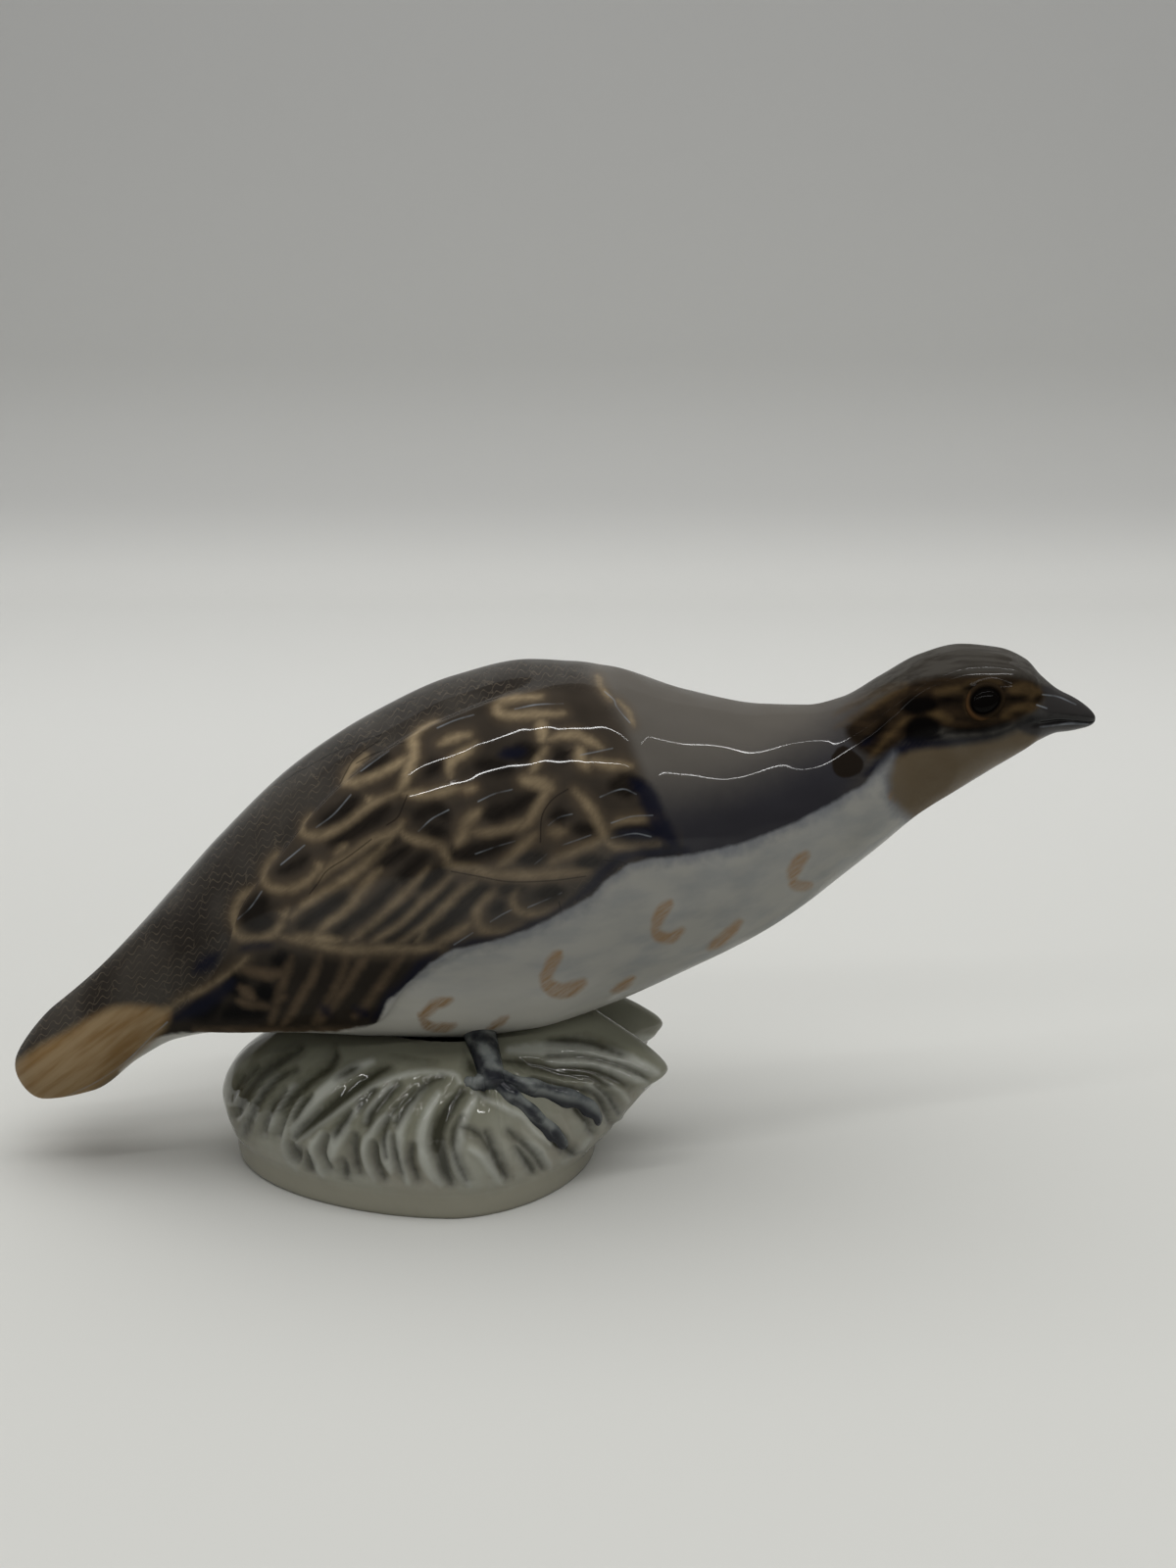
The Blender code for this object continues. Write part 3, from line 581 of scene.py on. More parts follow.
# The darkest places: the hearts of the feathers, and the shade between the flight feathers
DARK = [
    (10.0, (571, 771), (573, 775)),
    (9.0, (522, 770), (546, 770)),
    (8.0, (497, 832), (517, 829)),
    (6.0, (500, 832), (525, 824), (545, 812)),
    (7.5, (463, 872), (480, 870), (500, 864), (520, 856)),
    (6.5, (530, 876), (553, 873)),
    (7.0, (564, 833), (577, 831)),
    (6.0, (587, 846), (603, 846)),
    (7.0, (590, 879), (610, 878)),
    (11.0, (626, 802), (650, 802)),
    (6.0, (630, 849), (672, 849)),
    (8.0, (655, 868), (692, 868)),
    (7.5, (550, 911), (572, 908)),
    (4.5, (504, 926), (513, 921)),
    (4.5, (512, 906), (532, 905)),
    (6.0, (310, 943), (320, 935), (333, 927), (347, 917), (353, 912)),
    (5.0, (345, 950), (360, 938), (373, 930), (387, 919), (405, 900)),
    (4.5, (377, 878), (390, 867), (407, 858)),
    (5.5, (390, 883), (405, 873), (418, 865)),
    (7.0, (410, 897), (420, 887), (435, 873)),
    (4.5, (375, 950), (390, 940), (410, 930), (423, 918)),
    (6.5, (432, 903), (443, 893), (455, 884)),
    (4.5, (397, 957), (413, 947), (430, 933), (445, 921), (463, 902)),
    (4.5, (423, 957), (443, 943), (459, 929), (470, 917)),
    (7.5, (495, 904), (482, 913), (470, 926), (455, 939), (440, 951)),
    (10.0, (272, 918), (262, 936), (278, 940)),
    (4.0, (290, 890), (304, 884), (316, 876)),
    (7.0, (334, 840), (352, 830), (366, 818)),
    (6.0, (374, 789), (398, 776)),
    (6.5, (428, 834), (446, 826), (456, 834)),
    (6.0, (438, 846), (454, 850)),
    (6.0, (440, 790), (450, 782)),
    (7.0, (490, 782), (520, 786)),
    (6.0, (342, 862), (362, 850), (382, 838), (398, 826)),
    (7.0, (284, 977), (297, 975)),
    (10.0, (238, 1002), (248, 1000)),
    (8.0, (266, 1009), (280, 1008)),
    (7.0, (232, 1030), (250, 1026), (268, 1028)),
    (8.0, (200, 1030), (222, 1022)),
]
# The fine pale shafts of the feathers, a pale line on the tail's edge and painted highlights on the beak,
# and the painted shade of the fine dark creases between the feathers
SHAFTS_AND_BEAK_HIGHLIGHTS = [
    [(373, 789), (384, 781), (398, 771)],
    [(328, 845), (344, 833), (360, 815)],
    [(292, 882), (302, 874), (313, 865)],
    [(248, 936), (260, 925), (270, 911)],
    [(430, 847), (442, 836), (457, 828)],
    [(487, 870), (507, 863), (524, 858)],
    [(540, 923), (557, 916), (571, 910)],
    [(502, 937), (512, 931), (520, 927)],
    [(613, 813), (628, 807), (637, 806), (646, 810)],
    [(624, 839), (643, 833), (663, 832)],
    [(625, 854), (646, 850), (662, 853)],
    [(560, 841), (569, 834), (581, 831)],
    [(571, 862), (586, 857), (600, 852)],
    [(547, 879), (558, 870)],
    [(465, 960), (481, 950)],
    [(528, 727), (548, 723), (572, 722)],
    [(450, 746), (466, 739), (483, 734)],
    [(490, 818), (505, 811), (521, 807)],
    [(593, 772), (608, 769), (622, 766)],
    [(618, 709), (626, 716), (628, 722), (634, 730), (641, 737)],
    # Painted highlights on the beak's ridge and nostril
    [(1066, 709), (1080, 711), (1096, 718)],
    [(1060, 720), (1066, 722)],
    [(70, 1118), (100, 1103), (130, 1082), (158, 1054), (170, 1042)],
    # A painted highlight along the beak's lower edge
    [(1064, 742), (1088, 739), (1108, 739)],
]
# Painted shade: dark lines along the creases between the feathers
CREASES = [
    [(288, 798), (300, 790), (320, 779), (340, 768), (352, 763), (367, 757), (388, 750)],
    [(385, 757), (370, 767), (360, 776), (353, 788), (347, 800)],
    [(320, 910), (328, 900), (337, 888), (357, 875), (380, 858)],
    [(365, 778), (380, 770), (395, 765), (413, 762)],
    [(417, 815), (414, 822), (408, 835), (398, 842)],
    [(577, 807), (567, 813), (558, 822), (552, 835), (551, 857)],
    [(617, 877), (637, 880), (647, 892), (655, 907)],
    [(570, 920), (573, 937), (573, 963)],
    [(462, 888), (490, 893), (520, 898), (560, 897), (596, 893)],
]
# Rust marks on the breast, like small curled leaves
RUST = [
    (6.5, (684, 921), (674, 932), (668, 948)), (6.0, (667, 944), (672, 955), (684, 957), (696, 949)),
    (5.5, (756, 940), (742, 954), (724, 968)),
    (6.5, (571, 972), (563, 984), (556, 1000)), (8.0, (554, 996), (562, 1008), (578, 1011), (596, 1002)),
    (4.5, (646, 998), (636, 1006), (625, 1012)),
    (5.5, (460, 1020), (445, 1025), (430, 1038)), (5.0, (428, 1036), (436, 1046), (450, 1049), (464, 1046)),
    (4.0, (518, 1038), (500, 1050)), (3.5, (498, 1050), (510, 1054), (524, 1052)),
    (6.5, (823, 871), (812, 884), (807, 898)), (5.5, (807, 894), (813, 904), (828, 903)),
    (3.5, (915, 805), (910, 812), (917, 817)),
]
# Each field says how far inside its patch or stroke a point lies, in pixels, and the wing's in degrees
# The belly's underside, out of the photograph's sight, keeps no rust marks.
UNDERSIDE_TURN, NO_MARK = (146.0, 158.0), 20.0
OFF_WING, SHOULDER_BLUR, BLUR_X = -9.0, 12.0, (-10.0, 16.0)
spots = skin(x, turn)
u, v = photo_place(spots)
inside_wing = np.where(x < WING_FRONT, np.minimum(side_turn - upper, lower - side_turn), OFF_WING)
painting = {
    "breast": patch(u, v, BREAST, smooth=False),
    "tail_side": patch(u, v, TAIL_SIDE),
    "face": patch(u, v, FACE),
    "throat": patch(u, v, THROAT),
    "beak": patch(u, v, BEAK),
    "stripe": brush(u, v, STRIPES),
    "streak": brush(u, v, FACE_STREAKS),
    "neck_patch": patch(u, v, NECK_PATCH),
    "buff": brush(u, v, BUFF),
    "bars": brush(u, v, BARS),
    "navy": brush(u, v, NAVY),
    "dark": brush(u, v, DARK),
    "rust": brush(u, v, RUST) - NO_MARK * step(side_turn, *UNDERSIDE_TURN),
    "wing": inside_wing / (1 + SHOULDER_BLUR * step(x, *BLUR_X)),
    "across": u,
    "down": v,
}
painting["shaft_side"], painting["shaft_near"] = thread(u, v, SHAFTS_AND_BEAK_HIGHLIGHTS)
painting["crease_side"], painting["crease_near"] = thread(u, v, CREASES)
raised = step(painting["buff"], *FEATHER_EDGE) * on_wing * step(painting["wing"], *WING_EDGE)
relief += FEATHER_RISE * raised
spots = spots + skin_normal(x, turn) * relief[..., None]
spots[..., 2] = np.minimum(spots[..., 2], TOP_OF_HEAD)

# The paint and glaze, from the underglaze browns to the clear coat
SOFT = 2.2
BACK, BACK_DEEP, BACK_LINE = shade(62, 58, 53), shade(44, 40, 36), shade(106, 96, 82)
WING, WING_DARK = shade(64, 57, 49), shade(25, 21, 17)
WING_HALO, WING_BUFF = shade(92, 79, 62), shade(158, 140, 110)
BAR_GREY, PALE_SHAFT_AND_HIGHLIGHT, CREASE_SHADE = shade(88, 74, 58), shade(138, 144, 150), shade(20, 17, 15)
NAVY_TINT, FLIGHT_BLACK = shade(13, 16, 32), shade(8, 7, 7)
# The mantle's warm grey is lightened to stand for the glaze's sheen: a painted sheen
MANTLE_AND_SHEEN, MANTLE_COOL = shade(92, 88, 82), shade(46, 45, 49)
# The breast's white porcelain is greyed: a painted shade
PORCELAIN_GREYED_BY_SHADE, PORCELAIN_GREY = shade(150, 149, 143), shade(133, 135, 134)
PORCELAIN_SHADE, PORCELAIN_LOW = shade(98, 102, 110), shade(186, 184, 176)
RUST_TINT = shade(136, 111, 82)
TAIL_BUFF, TAIL_OCHRE = shade(142, 122, 92), shade(122, 96, 62)
FACE_BROWN, FACE_DARK, FACE_BUFF = shade(46, 36, 25), shade(29, 23, 17), shade(82, 66, 43)
THROAT_BUFF, BEAK_GREY, CROWN = shade(92, 80, 62), shade(50, 48, 47), shade(68, 65, 60)

# Under the coat the paint itself has no gloss
PAINT = {"Roughness": 0.35, "Specular_IOR_Level": 0.0}
glazed = Finish("glazed_plumage", Coat_Roughness=0.035, Coat_IOR=1.5, **PAINT)
here = glazed.place()
across, down = glazed.field("across"), glazed.field("down")
wobble = glazed.noise(here, 420.0, 3.0) - 0.5
drift = glazed.noise(here, 60.0, 2.0) - 0.5


def painted(name, blur=SOFT, shake=3.0, inset=0.0):
    """The share of a painted patch or stroke, with a brush's uneven edge."""
    return glazed.soft(glazed.field(name) + wobble * shake - inset, -blur, blur)


def line_of(name, half_width):
    """The share of a fine line, where it lies near enough to its stroke."""
    inside = glazed.soft(abs(glazed.field(name + "_side")), half_width + 0.7, half_width - 0.5)
    return inside * glazed.soft(glazed.field(name + "_near"), 5.5, 7.0)


# Hairs of the brush, which run along the feathers from the upper right to the lower left
along_feather, over_feather = across * 0.8 + down * -0.6, across * 0.6 + down * 0.8
hair_place = glazed.node("ShaderNodeCombineXYZ", {}, {0: along_feather * 0.05, 1: over_feather * 0.32})
hair = glazed.noise(hair_place, 1.0, 3.0, 0.6) - 0.5
# Back and rump: brown with fine pale lines, zigzag across and longer ones from top to bottom
bend = glazed.noise(here, 150.0, 3.0, 0.6) * 3.0
zigzag = abs((down * 0.4 + across * 0.2 + (across * 0.5).wave() * 1.1 + bend * 1.5).wave())
upright = abs((across * 0.14 + bend * 2.4 + down * 0.03).wave())
lined = glazed.soft(zigzag, 0.34, 0.1).larger(glazed.soft(upright, 0.12, 0.04) * 0.8)
lined = lined * (glazed.soft(glazed.noise(here, 240.0, 2.0), 0.32, 0.6) * 0.8 + 0.2)
back = glazed.coats(BACK, (glazed.soft(drift, -0.15, 0.15), BACK_DEEP), (lined * 0.42, BACK_LINE))
# Neck and mantle: warm grey, lightened as a painted sheen of the glaze, that cools to blue towards the breast
edge_of_breast = glazed.field("breast")
mantle = glazed.mix(glazed.soft(edge_of_breast + wobble * 8.0, -104.0, -24.0), MANTLE_AND_SHEEN, MANTLE_COOL)
mantle_from = glazed.soft(across + (down - 690.0) * -0.42 + wobble * 16.0, 590.0, 620.0)
# Wing: dark hearts and buff edges of the feathers on a brown ground, darker towards the flight feathers
ground = glazed.coats(
    WING,
    (glazed.soft(drift, -0.12, 0.16) * 0.5, WING_DARK),
    (glazed.soft(down, 955.0, 990.0) * 0.75, WING_DARK),
)
wing_share = glazed.soft(glazed.field("wing"), -0.6, 1.2)
lowest = glazed.soft(down, 950.0, 985.0) * wing_share
dabs = glazed.noise(here, 190.0, 3.0) - 0.5
# The dark strokes: hearts of the feathers, and painted shade between the flight feathers
feather_hearts_and_shade = painted("dark", 6.5, 4.0, -1.5)
# Painted light: the buff is lighter towards the top and the rear of the wing
buff_painted_light = glazed.soft(down, 880.0, 730.0) * 0.5 + glazed.soft(across, 500.0, 330.0) * 0.2 + 0.34
# Head: a combed crown, and streaked brown from the nape to the beak over a dark stripe
on_crown = glazed.soft(across + wobble * 14.0, 850.0, 905.0)
comb = glazed.noise(glazed.place((0.1, 1.0, 1.0)), 620.0, 3.0)
crown = glazed.mix(glazed.soft(comb, 0.4, 0.66) * 0.45, CROWN, FACE_DARK)
stripe = glazed.mix(glazed.soft(down, 748.0, 766.0), FLIGHT_BLACK, NAVY_TINT)
face_grain = glazed.noise(glazed.place((0.4, 1.0, 1.5)), 300.0, 3.0)
face = glazed.coats(
    FACE_DARK,
    (glazed.soft(face_grain, 0.3, 0.7), FACE_BROWN),
    (painted("streak", 5.5, 5.0) * (0.5 + (face_grain - 0.5) * 1.5), FACE_BUFF),
)
# Breast: greyish white, its grey a painted shade on white porcelain, cooler along its edge and warmer low
# down, with rust marks
streaks = glazed.soft(glazed.noise(glazed.place((0.3, 1.0, 0.8)), 260.0, 4.0), 0.35, 0.75)
breast = glazed.coats(
    PORCELAIN_GREYED_BY_SHADE,
    (streaks * 0.8, PORCELAIN_GREY),
    (glazed.soft(edge_of_breast + wobble * 16.0, 16.0, -2.0) * 0.7, PORCELAIN_SHADE),
    (glazed.soft(down, 985.0, 1050.0) * 0.8, PORCELAIN_LOW),
    (painted("rust", 3.0, 4.0) * (0.75 + hair * 1.4), RUST_TINT),
)
blur_of_breast = glazed.soft(across, 880.0, 908.0) * 2.4 + 1.0
# Tail: buff with ochre grain
tail_place = glazed.node("ShaderNodeCombineXYZ", {}, {0: along_feather * 0.014, 1: over_feather * 0.11})
tail = glazed.mix(glazed.soft(glazed.noise(tail_place, 1.0, 3.0), 0.35, 0.72), TAIL_BUFF, TAIL_OCHRE)
plumage = glazed.coats(
    back,
    (mantle_from, mantle),
    (wing_share, ground),
    (painted("buff", 9.0, 4.0, -3.0) * 0.6, WING_HALO),
    (feather_hearts_and_shade * (0.9 + hair * 0.5), WING_DARK),
    (feather_hearts_and_shade * lowest, FLIGHT_BLACK),
    (painted("bars", 5.0, 4.0, -0.5) * (0.72 + dabs * 1.2), BAR_GREY),
    (painted("buff", 6.5, 5.0, 2.6) * buff_painted_light * (1.05 + dabs * 2.0 + hair * 0.8), WING_BUFF),
    (painted("navy", 6.0, 5.0) * 0.85, NAVY_TINT),
    (on_crown, crown),
    (painted("face", 5.0), face),
    (painted("streak", 4.0, 5.0) * 0.3, FACE_BUFF),
    (painted("neck_patch", 1.5, 1.0), FACE_DARK),
    (painted("throat", 8.0), THROAT_BUFF),
    (painted("beak", 4.0), BEAK_GREY),
    (painted("stripe", 5.0, 5.0) * 0.95, stripe),
    (glazed.soft((edge_of_breast + wobble * 4.0) / blur_of_breast, -2.5, 2.5), breast),
    (painted("tail_side", 7.0), tail),
    # Painted shade along the fine creases
    (line_of("crease", 0.6) * glazed.soft(edge_of_breast, 2.0, -4.0) * 0.6, CREASE_SHADE),
    # Pale shafts, with painted highlights on the beak
    (line_of("shaft", 0.6) * (0.34 + dabs * 1.6), PALE_SHAFT_AND_HIGHLIGHT),
)
glazed.feed("Base Color", plumage)
# The glaze is thinner over the face and the tips of the wings, and uneven elsewhere
thin_low = glazed.soft(down, 925.0, 985.0) * glazed.soft(edge_of_breast, 4.0, -4.0) * 0.8
thin_glaze = (painted("face", 5.0, 3.0, -1.0) * 0.96).larger(thin_low)
gloss = glazed.soft(glazed.noise(here, 75.0, 1.0), 0.38, 0.6).larger(glazed.soft(across, 650.0, 600.0))
glazed.feed("Coat Weight", (1.0 - thin_glaze) * (gloss * 0.34 + 0.2 + dabs * 0.4))
glazed.ripple(glazed.noise(here, 95.0, 1.0), 0.0022, 0.35)


def ring_faces(rows, around):
    """The faces between rows of points that each run round the piece."""
    grid = np.arange(rows * around).reshape(rows, around)
    row, ahead = grid[:-1], grid[1:]
    return np.stack([row, np.roll(row, -1, 1), np.roll(ahead, -1, 1), ahead], axis=-1).reshape(-1, 4)


def keep_fields(piece, fields):
    """Writes painted fields on the piece's points, where its material reads them."""
    for name, values in fields.items():
        layer = piece.data.attributes.new(name, "FLOAT", "POINT")
        layer.data.foreach_set("value", np.asarray(values, np.float32).reshape(-1))


# One point closes each tip
count, around = x.shape
tips = [(row[0], 0, end[:, 2].mean()) for row, end in ((SECTIONS[0], spots[0]), (SECTIONS[-1], spots[-1]))]
shell = np.concatenate([spots.reshape(-1, 3), tips]) * MM
first, last = count * around, count * around + 1
ends = [(first, (k + 1) % around, k) for k in range(around)]
ends += [(last, first - around + k, first - around + (k + 1) % around) for k in range(around)]
bird = smooth_mesh("bird", shell.tolist(), ring_faces(count, around).tolist() + ends, glazed.material)
flat = {name: values.reshape(-1) for name, values in painting.items()}
keep_fields(bird, {name: [*values, values[0], values[-1]] for name, values in flat.items()})
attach(bird, "root")
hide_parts("partridge")

# The eyes: a low glossy dome on each side of the head, in a raised lid
# They are modelled in the same porcelain. The dome is painted near black and the lid brown.
EYE_X, EYE_TURN, EYE_SIDES, EYE_RINGS = 97.0, 69.0, 48, 12
EYE_HALF_LENGTH, EYE_HALF_HEIGHT, EYE_BULGE, PUPIL_POINT = 3.1, 2.3, 0.9, 0.001
# The lid, from its buried rim to the groove round the eye: how far out it lies, and how high
LID_WIDTH = 1.4
LID_SHAPE = [(1.05, -0.5), (1.0, -0.05), (0.75, 0.375), (0.5, 0.5), (0.22, 0.35), (0.0, 0.1)]
# The lower lid's rear corner, where orange shows in the photograph
WARM_LID = [(1.2, (988, 706), (986, 718), (992, 729), (1003, 735), (1014, 735))]
EYE_DARK, LID_BROWN = shade(9, 7, 6), shade(38, 30, 21)
LID_WARM, LID_RIM = shade(80, 57, 35), shade(40, 31, 21)
iris = Finish("glazed_eye", Roughness=0.3, Coat_Roughness=0.02, Specular_IOR_Level=0.0)
from_middle = iris.field("from_middle")
lid = iris.mix(iris.soft(iris.field("warm"), -3.5, 2.0), LID_BROWN, LID_WARM)
rim = iris.soft(from_middle, 1.32, 1.48)
iris.feed("Base Color", iris.coats(EYE_DARK, (iris.soft(from_middle, 1.0, 1.28), lid), (rim, LID_RIM)))
iris.feed("Coat Weight", iris.soft(from_middle, 1.0, 0.85) * 0.1)
rows = []
for out, rise in LID_SHAPE:
    out *= LID_WIDTH
    rows.append((EYE_HALF_LENGTH + out, EYE_HALF_HEIGHT + out, rise, 1 + out / EYE_HALF_LENGTH))
for k in range(1, EYE_RINGS):
    bend = math.pi / 2 * k / EYE_RINGS
    keep = math.cos(bend)
    rows.append((EYE_HALF_LENGTH * keep, EYE_HALF_HEIGHT * keep, EYE_BULGE * math.sin(bend), keep))
rows.append((PUPIL_POINT, PUPIL_POINT, EYE_BULGE, 0.0))
angle = 2 * math.pi * np.arange(EYE_SIDES) / EYE_SIDES
half_width = section(np.array([EYE_X]), 3)[0]
rings = []
for length, height, rise, _ in rows:
    at = EYE_X + length * np.cos(angle)
    round_head = EYE_TURN + np.degrees(height * np.sin(angle) / half_width)
    rings.append(skin(at, round_head) + skin_normal(at, round_head) * rise)
eye_points = np.concatenate(rings)
eye_fields = {
    "from_middle": np.repeat([share for *_, share in rows], EYE_SIDES),
    "warm": brush(*photo_place(eye_points), WARM_LID),
}
faces = ring_faces(len(rows), EYE_SIDES)
for name, side in (("eye_left", 1), ("eye_right", -1)):
    sided = eye_points * (MM, side * MM, MM)
    eye = smooth_mesh(name, sided.tolist(), faces[:, ::side].tolist(), iris.material)
    keep_fields(eye, eye_fields)
    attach(eye, "root")

# The grass: a mound of drooping blades on a plain plinth, cast in one with the bird
# Its blades spring from the foot on each side, modelled as raised ridges between cut valleys. It is
# glazed grey-green, with painted highlights on the ridges and painted shade in the valleys and under the
# bird.
MOUND_X = -20.0
MOUND_FRONT, MOUND_REAR, MOUND_HALF_DEPTH = 32.0, 53.0, 37.2
MOUND_POWER, PLINTH_HEIGHT, MOUND_TOP = 1.8, 5.5, 34.3
MOUND_PROFILE = [
    (0.0, 0.985), (1.0, 1.0), (5.5, 1.01), (8.0, 1.04), (11.5, 1.065), (15.5, 1.075), (19.0, 1.06),
    (22.0, 1.03), (25.0, 0.98), (28.0, 0.90), (31.0, 0.78), (33.0, 0.64), (34.0, 0.50),
]
BLADES, BLADE_STEPS = 24, 13
BLADE_DEPTH, BLADE_SHARPNESS, BLADE_MIDDLE = 1.8, 1.2, 0.35
BLADE_SWAY, BLADE_CROWD = 0.22, 1.15
BLADE_ROOT = 73.0
REAR_DROOP, FRONT_DROOP = 0.45, 0.7
BLADE_FADE = 4.0
LEAST_DROP, FULL_DROP = 0.03, 0.2
TUFT_TURN, TUFT_INNER, TUFT_OUTER = 17.0, 10.0, 20.0
TUFT_REACH = [
    (4.0, 0.0), (9.0, 4.0), (15.0, 8.5), (20.0, 14.0), (23.5, 19.0), (27.0, 16.5), (31.0, 12.0), (35.5, 9.0),
]
TUFT_LIFT, TUFT_LIFT_WIDTH = 0.22, 40.0
MOUND_LEVELS, HIGHEST_LEVEL = 150, 34.0


def mound_reach(turn, level):
    """How far the grass reaches from the middle at a turn in degrees round it, at a level."""
    angle = np.radians(turn)
    half_length = np.where(np.cos(angle) > 0, MOUND_FRONT, MOUND_REAR)
    across, deep = abs(np.cos(angle)) / half_length, abs(np.sin(angle)) / MOUND_HALF_DEPTH
    outline = (across**MOUND_POWER + deep**MOUND_POWER) ** (-1 / MOUND_POWER)
    away = turn - TUFT_TURN
    lobe = np.exp(-((away / np.where(away < 0, TUFT_INNER, TUFT_OUTER)) ** 2))
    return outline * steady(MOUND_PROFILE, level) + steady(TUFT_REACH, level) * lobe


def mound_place(turn, level, reach):
    """The place at a turn, a level and a reach. The profile is drawn up at the front, under the breast."""
    lift = 1 + TUFT_LIFT * np.exp(-((turn / TUFT_LIFT_WIDTH) ** 2)) * level / MOUND_TOP
    angle = np.radians(turn)
    return np.stack([MOUND_X + reach * np.cos(angle), -reach * np.sin(angle), level * lift], axis=-1)


levels = HIGHEST_LEVEL * np.arange(MOUND_LEVELS + 1) / MOUND_LEVELS
level, blade = np.meshgrid(levels, np.arange(BLADES * BLADE_STEPS + 1) / BLADE_STEPS, indexing="ij")
drop = np.clip((MOUND_TOP - level) / (MOUND_TOP - PLINTH_HEIGHT), LEAST_DROP, 1)
share = blade / BLADES
sway = BLADE_SWAY * (np.sin(7 * math.pi * share) + np.sin(11 * math.pi * share)) / BLADES
away = 180 * np.maximum(0, share + sway) ** BLADE_CROWD - BLADE_ROOT
droop = np.where(away > 0, REAR_DROOP, FRONT_DROOP)
end = np.where(away > 0, 180 - BLADE_ROOT, BLADE_ROOT)
turn = BLADE_ROOT + away * drop ** (droop * (1 - (away / end) ** 2))
fade = np.clip((level - PLINTH_HEIGHT) / BLADE_FADE, 0, 1) * np.clip(drop / FULL_DROP, 0, 1)
valley = fade * (1 - abs(np.sin(math.pi * blade))) ** BLADE_SHARPNESS
# The blades as they lie on the near side, by where they show in the photograph, mirrored on the far side
RIDGES = [
    (2.0, (470, 1104), (464, 1096), (450, 1094), (430, 1094), (412, 1097), (398, 1101), (384, 1107),
     (368, 1117), (350, 1130), (334, 1142), (318, 1153), (305, 1163), (299, 1172)),
    (5.5, (380, 1083), (362, 1090), (346, 1101), (330, 1115), (316, 1130), (304, 1146), (300, 1160)),
    (2.0, (306, 1122), (297, 1136), (292, 1152), (291, 1168), (295, 1182), (303, 1193)),
    (1.8, (275, 1092), (262, 1103), (250, 1117), (243, 1130)),
    (2.5, (283, 1098), (268, 1112), (258, 1128), (250, 1145), (246, 1158)),
    (3.5, (300, 1108), (288, 1122), (280, 1138), (275, 1152)),
    (4.0, (328, 1156), (320, 1171), (321, 1186), (330, 1199)),
    (7.0, (354, 1148), (342, 1165), (338, 1182)),
    (3.0, (374, 1118), (362, 1134), (352, 1148), (344, 1160)),
    (3.0, (400, 1106), (387, 1120), (378, 1132), (373, 1143)),
    (3.0, (406, 1144), (399, 1139), (388, 1144), (379, 1156), (372, 1170), (374, 1186), (383, 1203)),
    (6.0, (396, 1158), (394, 1176), (399, 1194)),
    (4.0, (432, 1110), (418, 1130), (410, 1150), (407, 1172), (411, 1192), (417, 1206)),
    (5.0, (448, 1116), (436, 1138), (431, 1160), (433, 1180), (440, 1196), (450, 1208)),
    (4.0, (486, 1118), (475, 1138), (469, 1160), (465, 1180), (470, 1198), (479, 1209)),
    (3.5, (480, 1172), (492, 1180), (502, 1194), (511, 1208)),
    (3.5, (540, 1166), (552, 1178), (562, 1194)),
    (2.0, (483, 1113), (500, 1123), (520, 1132), (534, 1140), (542, 1150), (552, 1160), (560, 1167)),
    (3.0, (600, 1106), (616, 1117), (628, 1130), (634, 1142)),
    (2.0, (618, 1104), (632, 1114), (640, 1124)),
    (7.0, (520, 1071), (560, 1070), (600, 1071), (640, 1082), (668, 1094)),
    (5.0, (560, 1082), (600, 1084), (640, 1096), (658, 1104)),
    (3.0, (575, 1188), (592, 1172), (602, 1160)),
]
